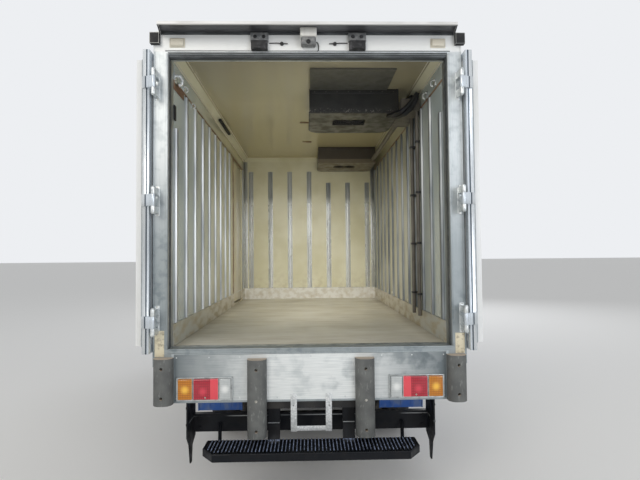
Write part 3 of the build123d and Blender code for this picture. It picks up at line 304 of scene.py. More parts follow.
def lathe(bm, centre, axis, profile, steps):
    """Closed profile of radius and distance turned about an axis through the centre."""
    axis = Vector(axis).normalized()
    side = axis.orthogonal().normalized()
    other = axis.cross(side)
    rings = []
    for k in range(steps):
        t = math.tau * k / steps
        out = side * math.cos(t) + other * math.sin(t)
        rings.append([bm.verts.new(Vector(centre) + out * r + axis * d) for r, d in profile])
    for k in range(steps):
        first, second = rings[k], rings[(k + 1) % steps]
        for i in range(len(profile)):
            j = (i + 1) % len(profile)
            bm.faces.new((first[i], first[j], second[j], second[i]))


bm = bmesh.new()
for side in (-1, 1):
    for axle_y, z in ((WHEEL_Y["rear"], 0.4), (WHEEL_Y["front"], 0.34)):
        for dy in (-0.036, 0.036):
            x = side * 0.315
            tube(bm, [(x - 0.04, axle_y + dy, z - 0.11), (x - 0.04, axle_y + dy, z + 0.085),
                      (x + 0.04, axle_y + dy, z + 0.085), (x + 0.04, axle_y + dy, z - 0.11)], 0.007, 8)
    lathe(bm, (side * 0.385, WHEEL_Y["rear"], AXLE_Z), (side, 0, 0),
          [(0.047, -0.012), (0.15, -0.012), (0.165, -0.004), (0.165, 0.004), (0.047, 0.004)], 32)
piece("axle_clamps", bm, axle_paint, "truck", "axle_black")

# Engine and gearbox: one mass of cast iron and pressed covers, hung between the rails on rubber mounts.
# Sand-cast, so its skin is coarse and dull, with oil that has caught the road dust.
engine_iron = aged_finish("oily_sand_cast_iron", "#2B2C2E", "#5E564B", 60, 0.38, 0.66, detail=7,
                          gloss=(0.42, 0.85), grain=(380, 4, 0.6, 0.002), roughness=0.6)
dress(engine_iron, "engine_grey", "engine_block")

# Tyres. Ribbed light-truck tyres moulded in carbon-black rubber, singles in front and twins behind.
# Three zigzag grooves, notched shoulders and plain rings on the walls; dusty all over from a dirt yard.
SIDES = (("left", -1), ("right", 1))
TYRE_CENTRES = {"front": (0.700,), "rear": (0.505, 0.735)}
# Moulded carbon-black rubber: quite matt, with pale brown dust in patches
tyre_rubber = aged_finish("dusty_moulded_tyre_rubber", "#232325", "#57544E", 55, 0.3, 0.72, detail=6,
                          grain=(900, 2, 0.3, 0.0008), roughness=0.85, Sheen_Weight=0.08)


def tyre(bm, x, y, side, steps=144):
    """One tyre: tread with zigzag grooves and notched shoulders, and ringed side walls."""
    wall = [(0.206, 0.070), (0.214, 0.086), (0.232, 0.0915), (0.238, 0.0900), (0.262, 0.0945),
            (0.268, 0.0925), (0.300, 0.0950), (0.306, 0.0938), (0.322, 0.0925)]
    zigzag = (-0.036, 0.0, 0.036)
    rings = []
    for k in range(steps):
        t = math.tau * k / steps
        wave = 0.004 * (1 if (k // 3) % 2 else -1)
        notch = 0.007 if k % 4 == 0 else 0.0
        section = [(r, -d) for r, d in wall] + [(0.336 - notch, -0.083), (0.344 - notch, -0.070)]
        section += [(0.3478 - notch, -0.058)]
        for g in zigzag:
            section += [(0.3478, g + wave - 0.0052), (0.339, g + wave - 0.0035), (0.339, g + wave + 0.0035),
                        (0.3478, g + wave + 0.0052)]
        section += [(0.3478 - notch, 0.058), (0.344 - notch, 0.070), (0.336 - notch, 0.083)]
        section += [(r, d) for r, d in reversed(wall)]
        rings.append([bm.verts.new((x + side * d, y + r * math.cos(t), AXLE_Z + r * math.sin(t)))
                      for r, d in section])
    for k in range(steps):
        first, second = rings[k], rings[(k + 1) % steps]
        for i in range(len(first)):
            j = (i + 1) % len(first)
            bm.faces.new((first[i], first[j], second[j], second[i]))


for axle, body, label in (("front", "front_wheel", "front_tyre"), ("rear", "rear_wheel", "rear_tyres")):
    for name, side in SIDES:
        bm = bmesh.new()
        for x in TYRE_CENTRES[axle]:
            tyre(bm, side * x, WHEEL_Y[axle], side)
        piece(f"{axle}_tread_{name}", bm, tyre_rubber, f"{body}_{name}", "tyre", f"{label}_{name}", crease=28)

# Steel wheels. Each disc is pressed and welded in a rolled rim, pierced by round hand holes.
# Sprayed silver, chalky with brake dust, with five or six plated nuts round a hub cap.
rim_paint = aged_finish("silver_sprayed_pressed_steel", "#B9BABB", "#7D756A", 45, 0.42, 0.7, detail=6,
                        gloss=(0.34, 0.7), grain=(1400, 1, 0.08, 0.0005), metallic=0.35, roughness=0.42)
# Bright zinc plate on the nuts: a small hard shine, with brown-grey spots
zinc_plate = aged_finish("bright_zinc_plated_steel", "#C9C8C2", "#8C867A", 14, 0.4, 0.7, gloss=(0.25, 0.55),
                         metallic=0.9, roughness=0.32)


def pierced(bm, centre, disc_r, hole_r, count, depth):
    """Cuts round hand holes through a wheel disc, on a circle of radius disc_r."""
    disc = bpy.data.meshes.new("disc")
    bmesh.ops.recalc_face_normals(bm, faces=bm.faces[:])
    bm.to_mesh(disc)
    bm.free()
    cutter = bmesh.new()
    for i in range(count):
        t = math.tau * (i + 0.5) / count
        hole = (centre[0], centre[1] + disc_r * math.cos(t), centre[2] + disc_r * math.sin(t))
        turned = Matrix.Translation(hole) @ Matrix.Rotation(math.pi / 2, 4, "Y")
        bmesh.ops.create_cone(cutter, cap_ends=True, segments=20, radius1=hole_r, radius2=hole_r, depth=depth,
                              matrix=turned)
    holes = bpy.data.meshes.new("holes")
    cutter.to_mesh(holes)
    cutter.free()
    solid = bpy.data.objects.new("disc", disc)
    drill = bpy.data.objects.new("holes", holes)
    for obj in (solid, drill):
        bpy.context.scene.collection.objects.link(obj)
    cut = solid.modifiers.new("cut", "BOOLEAN")
    cut.operation = "DIFFERENCE"
    cut.solver = "EXACT"
    cut.object = drill
    depsgraph = bpy.context.evaluated_depsgraph_get()
    result = bmesh.new()
    result.from_mesh(solid.evaluated_get(depsgraph).to_mesh())
    for obj in (solid, drill):
        bpy.data.objects.remove(obj)
    return result


FRONT_RIM = [(0.206, -0.088), (0.2085, -0.070), (0.206, -0.055), (0.206, 0.055), (0.2085, 0.070),
             (0.2125, 0.086), (0.2075, 0.089), (0.197, 0.084), (0.190, 0.062), (0.168, 0.056),
             (0.146, 0.050), (0.120, 0.055), (0.098, 0.060), (0.082, 0.066), (0.080, 0.080), (0.072, 0.086),
             (0.030, 0.088), (0.030, -0.032), (0.070, -0.032), (0.076, 0.040), (0.100, 0.048),
             (0.122, 0.043), (0.146, 0.040), (0.168, 0.046), (0.184, 0.040), (0.193, -0.086)]
TWIN_RIM = [(0.206, 0.027), (0.209, 0.042), (0.205, 0.058), (0.205, 0.172), (0.209, 0.186), (0.2125, 0.202),
            (0.207, 0.205), (0.197, 0.200), (0.192, 0.176), (0.190, 0.060), (0.170, 0.042), (0.146, 0.030),
            (0.120, 0.018), (0.104, 0.012), (0.097, 0.020), (0.095, 0.070), (0.082, 0.092), (0.060, 0.101),
            (0.020, 0.103), (0.020, -0.060), (0.090, -0.060), (0.095, -0.008), (0.150, -0.028),
            (0.190, -0.060), (0.193, -0.205), (0.206, -0.205), (0.206, -0.027), (0.170, 0.0)]
for name, side in SIDES:
    for axle, profile, x, disc_r, nuts, nut_r, nut_x in (("front", FRONT_RIM, 0.700, 0.146, 5, 0.089, 0.069),
                                                         ("rear", TWIN_RIM, 0.620, 0.150, 6, 0.112, 0.020)):
        centre = (side * x, WHEEL_Y[axle], AXLE_Z)
        bm = bmesh.new()
        lathe(bm, centre, (side, 0, 0), profile, 60)
        bm = pierced(bm, centre, disc_r, 0.019, 10, 0.3)
        covers = f"{axle}_rim_{name}" if axle == "front" else f"rear_rims_{name}"
        piece(f"{axle}_disc_{name}", bm, rim_paint, f"{axle}_wheel_{name}", "rim_silver", covers, crease=30)
        spots = []
        for i in range(nuts):
            t = math.tau * i / nuts + 0.3
            nut = (centre[0] + side * nut_x, centre[1] + nut_r * math.cos(t), AXLE_Z + nut_r * math.sin(t))
            spots.append((nut, (side, 0, 0)))
        fasteners(f"{axle}_nuts_{name}", spots, 0.0135, 0.02, 6, 0.017, zinc_plate, f"{axle}_wheel_{name}")

# Fuel tank on the right rail and battery box on the left one. Rolled and welded sheet on strap brackets.
# Painted satin grey-black; pressed straps, a locking filler cap and a chequered box lid.
tank_paint = aged_finish("satin_grey_paint_on_sheet_steel", "#2E2F32", "#625B50", 110, 0.4, 0.72,
                         stretch=(1, 1, 2.5), detail=6, gloss=(0.32, 0.75), grain=(300, 1, 0.1, 0.001),
                         roughness=0.45)
dress(tank_paint, "tank_grey", "fuel_tank", "battery_box")
# Moulded rubber: black and smooth without gloss, greyed in small patches
black_rubber = aged_finish("moulded_black_rubber", "#17181A", "#3B3A39", 40, 0.4, 0.75, detail=5,
                           roughness=0.7)
TANK = (REAR + 2.19, REAR + 2.83)


def slab(bm, x0, x1, y0, y1, z0, z1, edge=0.0, steps=2):
    """Block between two corners with eased edges; x0 and x1 come in either order."""
    centre = Vector((x0 + x1, y0 + y1, z0 + z1)) / 2
    size = Matrix.Diagonal((abs(x1 - x0), y1 - y0, z1 - z0, 1))
    made = bmesh.ops.create_cube(bm, size=1, matrix=Matrix.Translation(centre) @ size)
    if edge:
        edges = list({e for v in made["verts"] for e in v.link_edges})
        bmesh.ops.bevel(bm, geom=edges, offset=edge, segments=steps, profile=0.5, affect="EDGES")


bm = bmesh.new()
for y in (TANK[0] + 0.12, TANK[1] - 0.12):
    corners = [(0.402, 0.394), (0.740, 0.394), (0.786, 0.412), (0.802, 0.458), (0.802, 0.662), (0.786, 0.708),
               (0.740, 0.726), (0.402, 0.726)]
    for (xa, za), (xb, zb) in zip(corners, corners[1:]):
        tube(bm, [(xa, y - 0.012, za), (xb, y - 0.012, zb)], 0.0035, 6)
        tube(bm, [(xa, y + 0.012, za), (xb, y + 0.012, zb)], 0.0035, 6)
lathe(bm, (0.832, TANK[1] - 0.09, 0.742), (0.7, 0, 0.7),
      [(0.001, 0.018), (0.030, 0.018), (0.037, 0.012), (0.038, -0.010), (0.001, -0.010)], 24)
slab(bm, -0.806, -0.42, TANK[0] + 0.075, TANK[1] - 0.055, 0.728, 0.744, 0.004)
slab(bm, -0.806, -0.798, TANK[0] + 0.30, TANK[0] + 0.34, 0.69, 0.735, 0.002)
piece("tank_straps_and_box_lid", bm, black_rubber, "truck", "tank_grey")

# Side guards behind the cab: two extruded aluminium bars a side on hangers from the cross-bearers.
# Anodised, so they are a pale satin grey, with faint lines drawn along them by the die.
anodised_bar = aged_finish("anodised_extruded_aluminium", "#B9BBBC", "#96989A", 16, 0.3, 0.75,
                           stretch=(1, 0.02, 1), detail=3, gloss=(0.3, 0.5), metallic=0.85, roughness=0.38)
dress(anodised_bar, "rail_aluminium", "side_guards")
spots = []
for side in (-1, 1):
    for y in (REAR + 0.08 + 0.41 * 5, REAR + 0.08 + 0.41 * 7):
        for z in (0.46, 0.50, 0.66, 0.70):
            spots.append(((side * 0.887, y, z), (side, 0, 0)))
fasteners("guard_bolts", spots, 0.008, 0.006, 6, 0.011, zinc_plate, "truck")

# Mudguards over all wheels: pressed sheet with a rolled lip, held by stays. The rear ones show blue below the
# sill, so all are blue; sprayed thin, with mud dried on the inside and a chalky edge.
guard_paint = aged_finish("thin_blue_paint_on_pressed_sheet", "#2557A4", "#5C7199", 60, 0.42, 0.7,
                          stretch=(1, 1, 0.6), detail=7, gloss=(0.32, 0.8), roughness=0.42)
dress(guard_paint, "guard_blue", "rear_mudguards", "front_fenders")
LIP_R = 0.4365
SWAGE_R = 0.4350


def mirrored(bm):
    """The same forms again on the truck's other side."""
    copy = bmesh.ops.duplicate(bm, geom=bm.verts[:] + bm.edges[:] + bm.faces[:])["geom"]
    verts = [v for v in copy if isinstance(v, bmesh.types.BMVert)]
    bmesh.ops.scale(bm, vec=(-1, 1, 1), verts=verts)
    bmesh.ops.reverse_faces(bm, faces=[f for f in copy if isinstance(f, bmesh.types.BMFace)])


bm = bmesh.new()
for axle_y, x0, x1, first, last in ((WHEEL_Y["rear"], 0.562, 0.910, 10, 191),
                                    (WHEEL_Y["front"], 0.562, 0.834, 22, 165)):
    for x in (x0, x1):
        steps = [math.radians(first + (last - first) * k / 36) for k in range(37)]
        tube(bm, [(x, axle_y + LIP_R * math.cos(t), AXLE_Z + LIP_R * math.sin(t)) for t in steps], 0.006, 8)
    for x in (x0 + 0.09, (x0 + x1) / 2, x1 - 0.09):
        steps = [math.radians(first + 3 + (last - first - 6) * k / 36) for k in range(37)]
        tube(bm, [(x, axle_y + SWAGE_R * math.cos(t), AXLE_Z + SWAGE_R * math.sin(t)) for t in steps],
             0.004, 6)
mirrored(bm)
piece("mudguard_lips", bm, guard_paint, "truck", "guard_blue")

# Body sills and pressed cross-bearers under the floor, bolted to the rails and dipped in underbody paint.
# The paint dries matt and pebbled, and splashed mud has turned it brown in patches.
underbody, tree, shader, place = surface("matt_underbody_paint", roughness=0.75)
splash = patches(tree, place, 80, 0.35, 0.7, detail=7)
weather(tree, shader, splash, "#232326", "#6A6256", relief=(splash, 0.3, 0.002))
dress(underbody, "under_body_black", "subframe")

# Load floor: a hard worn deck sheet over insulation, laid crosswise between the walls.
# Years of sliding crates have drawn beige and grey streaks across it, with scuffs and a dull sheen.


def veiled(tree, share, most, under, over):
    """A colour with dirt or wear of another colour over it, which covers at most a part of it."""
    cover = put(tree, "Math", {0: share, 1: most}, operation="MULTIPLY")
    return put(tree, "Mix", {0: cover, 6: under, 7: over}, **COLOUR)


# Hard deck sheet worn smooth: beige streaks across it, fine scratches and a grey band along each wall
worn_deck, tree, shader, place = surface("worn_hard_deck_sheet", roughness=0.42)
streaks = patches(tree, place, 150, 0.36, 0.68, stretch=(0.35, 1, 1), detail=7)
fine_streaks = patches(tree, place, 26, 0.36, 0.70, stretch=(0.10, 1, 1), detail=4)
trodden = patches(tree, place, 420, 0.42, 0.70, detail=6)
scrubbed = put(tree, "Mix", {0: streaks, 6: "#EFEBDF", 7: "#DAD4C3"}, **COLOUR)
lined = put(tree, "Mix", {0: fine_streaks, 6: scrubbed, 7: "#EDE9DC"}, **COLOUR)
deck_colour = veiled(tree, trodden, 0.4, lined, "#BDB6A5")
scratch = put(tree, "TexNoise", {"Vector": put(tree, "Mapping", {"Vector": place, "Scale": (0.08, 1, 1)}),
                                 "Scale": 300, "Detail": 3})
edge_x = put(tree, "SeparateXYZ", {"Vector": place}, out="X")
edge_band = put(tree, "MapRange", {
    "Value": put(tree, "Math", {0: edge_x}, operation="ABSOLUTE"), 1: 0.74, 2: 0.835, 4: 0.45})
wire(tree, shader, {
    "Base Color": put(tree, "Mix", {0: edge_band, 6: deck_colour, 7: "#8B8473"}, **COLOUR),
    "Roughness": put(tree, "MapRange", {"Value": streaks, 3: 0.32, 4: 0.55}),
    "Normal": put(tree, "Bump", {"Height": scratch, "Strength": 0.16, "Distance": 0.001})})
dress(worn_deck, "worn_floor", "van_floor")

# Insulated walls. Glass-fibre skins on foam: glossy cream lining inside, white gelcoat outside.
# The lining is hand-laid, so its gloss ripples along the body; rub marks and grime gather low down. Painted
# shade darkens the ceiling, most near the doorway, and greys the side walls by the doorway.
RIPPLE_MM = 260


def lined_panel(name, inner_x):
    """Cream lining on the inside of a wall or roof and white gelcoat on its outside, parted at inner_x."""
    material, tree, shader, place = surface(name, roughness=0.2, Coat_Weight=0.25, Coat_Roughness=0.12)
    axes = put(tree, "SeparateXYZ", {"Vector": place}, out=None)
    reach = put(tree, "Math", {0: axes["X"]}, operation="ABSOLUTE")
    past_x = put(tree, "Math", {0: reach, 1: inner_x}, operation="GREATER_THAN")
    past_z = put(tree, "Math", {0: axes["Z"], 1: 2.81}, operation="GREATER_THAN")
    past_y = put(tree, "Math", {0: axes["Y"], 1: 0.875}, operation="GREATER_THAN")
    outside = put(tree, "Math", {0: put(tree, "Math", {0: past_x, 1: past_z}, operation="MAXIMUM"),
                                 1: past_y}, operation="MAXIMUM")
    cloud = patches(tree, place, 300, 0.36, 0.68, stretch=(1, 0.5, 1), detail=5)
    cream = put(tree, "Mix", {0: cloud, 6: "#EBE8CF", 7: "#DFDBBD"}, **COLOUR)
    low = put(tree, "MapRange", {"Value": axes["Z"], 1: 1.35, 2: 0.97, 3: 0.0, 4: 0.65})
    rub = patches(tree, place, 55, 0.38, 0.72, stretch=(1, 0.35, 1), detail=7)
    grime = put(tree, "Math", {0: low, 1: rub}, operation="MULTIPLY")
    kick = put(tree, "Math", {0: axes["Z"], 1: 1.101}, operation="LESS_THAN")
    along_side = put(tree, "Math", {0: reach, 1: 0.835}, operation="GREATER_THAN")
    skirting = put(tree, "Math", {0: kick, 1: along_side}, operation="MULTIPLY")
    soiled = put(tree, "Math", {0: skirting, 1: 0.5, 2: grime}, operation="MULTIPLY_ADD", use_clamp=True)
    # painted shade: the ceiling is a darker, greyer cream than the walls, darker still towards the doorway
    overhead = put(tree, "Math", {0: axes["Z"], 1: 2.775}, operation="GREATER_THAN")
    doorway = put(tree, "MapRange", {"Value": axes["Y"], 1: REAR + 1.1, 2: REAR + 0.3})
    ceiling = put(tree, "Mix", {0: doorway, 6: "#D1C8A3", 7: "#AAA288"}, **COLOUR)
    shaded_ceiling_mix = put(tree, "Mix", {0: overhead, 6: cream, 7: ceiling}, **COLOUR)
    bare = put(tree, "Mix", {0: kick, 6: shaded_ceiling_mix, 7: "#F0EFEA"}, **COLOUR)
    # painted shade and sky reflection: the side walls turn a cool blue-grey towards the doorway
    near_door_shade = put(tree, "MapRange", {"Value": axes["Y"], 1: REAR + 1.6, 2: REAR + 0.4, 4: 0.75})
    by_door = put(tree, "Math", {0: near_door_shade, 1: along_side}, operation="MULTIPLY")
    with_painted_shade = put(tree, "Mix", {0: by_door, 6: bare, 7: "#B0C2CC"}, **COLOUR)
    lining = put(tree, "Mix", {0: soiled, 6: with_painted_shade, 7: "#B3A78B"}, **COLOUR)
    wash = patches(tree, place, 140, 0.4, 0.8, stretch=(3, 1, 0.25), detail=5)
    gelcoat = veiled(tree, wash, 0.45, "#E9E8E2", "#C9C6BA")
    swell = put(tree, "TexNoise", {
        "Vector": put(tree, "Mapping", {"Vector": place, "Scale": (1, 0.12, 0.12)}),
        "Scale": 1000 / RIPPLE_MM, "Detail": 2})
    wire(tree, shader, {
        "Base Color": put(tree, "Mix", {0: outside, 6: lining, 7: gelcoat}, **COLOUR),
        "Roughness": put(tree, "MapRange", {"Value": soiled, 3: 0.16, 4: 0.5}),
        "Normal": put(tree, "Bump", {"Height": swell, "Strength": 0.35, "Distance": 0.012})})
    return material


gelcoat_lining = lined_panel("gelcoat_and_cream_fibreglass", 0.885)
dress(gelcoat_lining, "cream_lining", "van_wall_left", "van_wall_right", "van_roof", "van_front_wall")

# Edge mouldings of the body: angles riveted over each outside edge, about every 80 mm.
# Extruded aluminium, anodised like the side guards and cut to length.
Y0, Y1 = REAR + 0.112, 0.913
STRIP_X, STRIP_Y = 0.9335, 0.918
TOP_STRIP, SILL_STRIP = (2.79, 2.842), (0.866, 0.972)
STRIP_EDGE = 0.0012


def pair(bm, x0, x1, *rest):
    """The same block on the left and on the right, x0 and x1 from the middle."""
    for side in (-1, 1):
        slab(bm, side * x0, side * x1, *rest)


bm = bmesh.new()
pair(bm, 0.929, STRIP_X, Y0, Y1, *TOP_STRIP, STRIP_EDGE)
pair(bm, 0.929, STRIP_X, Y0, Y1, *SILL_STRIP, STRIP_EDGE)
pair(bm, 0.929, STRIP_X, Y1 - 0.055, Y1 - 0.022, SILL_STRIP[1], TOP_STRIP[0], STRIP_EDGE)
slab(bm, -0.90, 0.90, 0.9145, STRIP_Y, *TOP_STRIP, STRIP_EDGE)
slab(bm, -0.90, 0.90, 0.9145, STRIP_Y, 0.868, SILL_STRIP[1], STRIP_EDGE)
piece("body_edge_mouldings", bm, anodised_bar, "truck", "rail_aluminium")
spots = []
for side in (-1, 1):
    for i in range(41):
        for z in (2.816, 0.950, 0.888):
            spots.append(((side * (STRIP_X + 0.0002), Y0 + 0.03 + i * 0.0815, z), (side, 0, 0)))
for i in range(22):
    for z in (2.816, 0.92):
        spots.append(((-0.86 + i * 0.082, STRIP_Y + 0.0005, z), (0, 1, 0)))
fasteners("body_rivets", spots, 0.0052, 0.0028, 8, 0.006, anodised_bar, "truck")

# Air rails: hat-section aluminium strips riveted upright to the lining, so cold air can pass behind the load.
# Rubbed by the load in upright streaks; painted shade makes the strips greyer from the left wall to the
# right, and darker above the load on the front wall.
polished_strip, tree, shader, place = surface("rubbed_aluminium_with_painted_shade", metallic=0.7, roughness=0.3)
axes = put(tree, "SeparateXYZ", {"Vector": place}, out=None)
rub_wear_and_edge_highlight = patches(tree, place, 60, 0.36, 0.7, stretch=(1, 1, 0.12), detail=5)
front = put(tree, "Math", {0: axes["Y"], 1: 0.79}, operation="GREATER_THAN")
# painted shade: the front wall's strips darken above 2.2 m, and all strips darken from left to right
front_top_shade = put(tree, "MapRange", {"Value": axes["Z"], 1: 2.17, 2: 2.27, 4: 0.55})
right_wall_shade = put(tree, "MapRange", {"Value": axes["X"], 1: -0.5, 2: 0.5, 3: 0.42, 4: 0.72})
darkened_share = put(tree, "Mix", {0: front, 2: right_wall_shade, 3: front_top_shade}, out=0, data_type="FLOAT")
wear_and_painted_light = put(tree, "Math", {0: rub_wear_and_edge_highlight, 1: 0.35, 2: darkened_share}, operation="MULTIPLY_ADD", use_clamp=True)
weather(tree, shader, wear_and_painted_light, "#F0F2F0", "#7C8286", gloss=(0.24, 0.46))
RAIL_FOOT = 1.104
RAIL_TOP = 2.600
RAIL_PITCH = 0.25
RIVET_GAUGE = 0.0245


def air_rail(bm, along, across, out, z0, z1):
    """One strip: across is its middle on the wall, along the way it is wide, out into the load space."""
    section = [(-0.030, 0.0008), (-0.0195, 0.0012), (-0.0165, 0.0115), (-0.0145, 0.0135), (-0.004, 0.0142),
               (0.004, 0.0142), (0.0145, 0.0135), (0.0165, 0.0115), (0.0195, 0.0012), (0.030, 0.0008),
               (0.030, 0.0), (-0.030, 0.0)]
    low, high = [], []
    for w, d in section:
        at = across + along * w + out * d
        low.append(bm.verts.new((at.x, at.y, z0)))
        high.append(bm.verts.new((at.x, at.y, z1)))
    for i in range(len(section)):
        j = (i + 1) % len(section)
        bm.faces.new((low[i], low[j], high[j], high[i]))
    bm.faces.new(low[::-1])
    bm.faces.new(high)


WALL_X = 0.8425
DOOR_LEFT = (REAR + 2.445, REAR + 3.075)
bm = bmesh.new()
screws = []
for side in (-1, 1):
    for i in range(13):
        y = REAR + 0.165 + RAIL_PITCH * i
        if side < 0 and DOOR_LEFT[0] - 0.04 < y < DOOR_LEFT[1] + 0.04:
            continue
        # the rails nearest the posts end lower, below the tie hooks
        top = RAIL_TOP if i else 2.37 + side * 0.05
        air_rail(bm, Vector((0, 1, 0)), Vector((side * WALL_X, y, 0)), Vector((-side, 0, 0)), RAIL_FOOT, top)
        for z in (1.13, 1.50, 1.87, top - 0.08, top - 0.025):
            for dy in (-RIVET_GAUGE, RIVET_GAUGE):
                screws.append(((side * 0.8412, y + dy, z), (-side, 0, 0)))
for i in range(-3, 4):
    top = RAIL_TOP if i < 1 else RAIL_TOP - 0.145
    x = RAIL_PITCH * i
    air_rail(bm, Vector((1, 0, 0)), Vector((x, 0.8195, 0)), Vector((0, -1, 0)), RAIL_FOOT, top)
    for z in (1.13, 1.50, 1.87, 2.24, top - 0.025):
        for dx in (-RIVET_GAUGE, RIVET_GAUGE):
            screws.append(((x + dx, 0.8182, z), (0, -1, 0)))
piece("air_rails", bm, polished_strip, "truck", "rail_aluminium", "wall_rails")
fasteners("rail_rivets", screws, 0.0034, 0.002, 6, 0.004, polished_strip, "truck")

# Trims inside the load space: corner posts, kick-plate edgings, strips along the wall tops and tie hooks.
# Folded aluminium and brown PVC strip screwed to the lining; the hooks are forged, with a plate each.
bm = bmesh.new()
pair(bm, WALL_X, 0.839, 0.772, 0.8195, 0.966, 2.73, 0.001)
pair(bm, WALL_X, 0.795, 0.8165, 0.8199, 0.966, 2.73, 0.001)
pair(bm, WALL_X, 0.8395, REAR + 0.112, 0.775, 1.1005, 1.1035, 0.0008, 1)
pair(bm, WALL_X, 0.8412, REAR, REAR + 0.108, 0.967, 2.716, 0.0005)
slab(bm, -0.79, 0.79, 0.8145, 0.8185, 1.0975, 1.104, 0.0008, 1)
slab(bm, -0.834, 0.834, REAR + 0.088, REAR + 0.13, 0.9651, 0.9668, 0.0006, 1)
piece("lining_corner_trims", bm, polished_strip, "truck", "rail_aluminium")
# Extruded PVC, browned and paled in long patches by age, with little shine
brown_strip = aged_finish("aged_brown_pvc_strip", "#7E5E4A", "#A8967C", 120, 0.4, 0.7, stretch=(1, 0.3, 1),
                          detail=5, roughness=0.55)
bm = bmesh.new()
pair(bm, WALL_X, 0.8385, REAR + 0.112, 0.78, 2.606, 2.620, 0.0015)
slab(bm, -WALL_X, -0.8380, REAR + 0.112, REAR + 0.345, 2.560, 2.607, 0.0015)
slab(bm, -WALL_X, -0.8392, DOOR_LEFT[0] - 0.05, DOOR_LEFT[0] - 0.005, 1.10, 2.606, 0.001)
slab(bm, -WALL_X, -0.8392, DOOR_LEFT[0] - 0.05, DOOR_LEFT[1] + 0.04, 2.592, 2.606, 0.001)
piece("wall_top_strips", bm, brown_strip, "truck", "pipe_cover")
# Chrome over a forging: a hard bright shine, with small dull spots
chromed_hook = aged_finish("chromed_forged_hook", "#EEF1F2", "#9FA5A8", 12, 0.5, 0.75, detail=4,
                           metallic=0.55, roughness=0.2)
bm = bmesh.new()
for side, y, z, size in ((-1, REAR + 0.155, 2.632, 1.5), (-1, REAR + 0.36, 2.645, 0.9),
                         (-1, REAR + 0.575, 2.600, 0.8), (1, REAR + 0.28, 2.66, 1.0),
                         (1, REAR + 0.50, 2.65, 1.0), (1, REAR + 0.72, 2.655, 1.0)):
    x = side * 0.842
    slab(bm, x, x - side * 0.004, y - 0.018 * size, y + 0.018 * size, z - 0.026 * size, z + 0.026 * size,
         0.0015)
    hook = [(x - side * out * size, y, z + up * size) for out, up in (
        (0.002, 0.016), (0.022, 0.012), (0.030, -0.004), (0.026, -0.022), (0.014, -0.026))]
    tube(bm, hook, 0.0068 * size, 8)
piece("tie_hooks", bm, chromed_hook, "truck", "stainless")

# Ceiling of the load space: moulded cove lines, two small lamp fittings and a black bar on the left cove.
# Extruded PVC and moulded rubber, clipped and screwed to the lining.
bm = bmesh.new()
slab(bm, -0.818, -0.790, REAR + 1.45, REAR + 1.95, 2.738, 2.762, 0.006)
slab(bm, -WALL_X, -0.834, REAR + 0.113, REAR + 0.150, 2.365, 2.458, 0.003)
piece("cable_bar_and_switch", bm, black_rubber, "truck", "fitting_black")
bm = bmesh.new()
for x, y in ((-0.035, REAR + 1.66), (-0.02, REAR + 2.43)):
    slab(bm, x - 0.05, x + 0.05, y - 0.018, y + 0.018, 2.779, 2.786, 0.003)
piece("ceiling_lamp_fittings", bm, brown_strip, "truck", "pipe_cover")
# Extruded PVC, cream and satin, yellower in long stretches
pale_strip = aged_finish("pale_pvc_joint_strip", "#EDE8D8", "#D3CAB0", 200, 0.3, 0.8, stretch=(1, 0.2, 1),
                         roughness=0.35)
bm = bmesh.new()
for side in (-1, 1):
    tube(bm, [(side * 0.7885, REAR + 0.112, 2.7835), (side * 0.7885, 0.80, 2.7835)], 0.0035, 8)
    tube(bm, [(side * 0.8405, REAR + 0.112, 2.7330), (side * 0.8405, 0.80, 2.7330)], 0.006, 8)
piece("cove_joint_strips", bm, pale_strip, "truck", "cream_lining")

# Ceiling evaporators. Folded sheet housings with a drip tray below, each with fans behind a slot in the tray.
# Dark grey enamel, greasy and speckled along the lower edge; the further one has a paler tray, and the plate
# in front of the first one is greyed with painted shade.
evaporator_enamel, tree, shader, place = surface("dark_grey_enamelled_sheet", roughness=0.42)
axes = put(tree, "SeparateXYZ", {"Vector": place}, out=None)
further = put(tree, "Math", {0: axes["Y"], 1: REAR + 2.0}, operation="GREATER_THAN")
# painted shade: the ceiling plate in front of the first unit is a darker grey than the ceiling
plate = put(tree, "Math", {0: axes["Y"], 1: REAR + 0.7475}, operation="LESS_THAN")
tray = put(tree, "Math", {0: axes["Z"], 1: put(tree, "Math", {0: further, 1: 0.0455, 2: 2.5985},
                                               operation="MULTIPLY_ADD")}, operation="LESS_THAN")
haze = patches(tree, place, 75, 0.36, 0.7, detail=6)
speckle = patches(tree, place, 9, 0.60, 0.70, detail=2)
lower = put(tree, "MapRange", {"Value": axes["Z"], 1: 2.645, 2: 2.615})
frost = put(tree, "Math", {0: speckle, 1: lower}, operation="MULTIPLY")
shell = put(tree, "Mix", {0: haze, 6: "#2E2E2E", 7: "#373735"}, **COLOUR)
faded = put(tree, "Mix", {0: further, 6: shell, 7: "#514C47"}, **COLOUR)
with_painted_shade = put(tree, "Mix", {0: plate, 6: faded, 7: "#65645C"}, **COLOUR)
speckled = put(tree, "Mix", {0: frost, 6: with_painted_shade, 7: "#9C9A90"}, **COLOUR)
greasy = put(tree, "Mix", {0: haze, 6: "#504F48", 7: "#46443D"}, **COLOUR)
underside = put(tree, "Mix", {0: further, 6: greasy, 7: "#7C7466"}, **COLOUR)
wire(tree, shader, {
    "Base Color": put(tree, "Mix", {0: tray, 6: speckled, 7: underside}, **COLOUR),
    "Roughness": put(tree, "MapRange", {"Value": haze, 3: 0.3, 4: 0.6})})
dress(evaporator_enamel, "evaporator_grey", "evaporators")
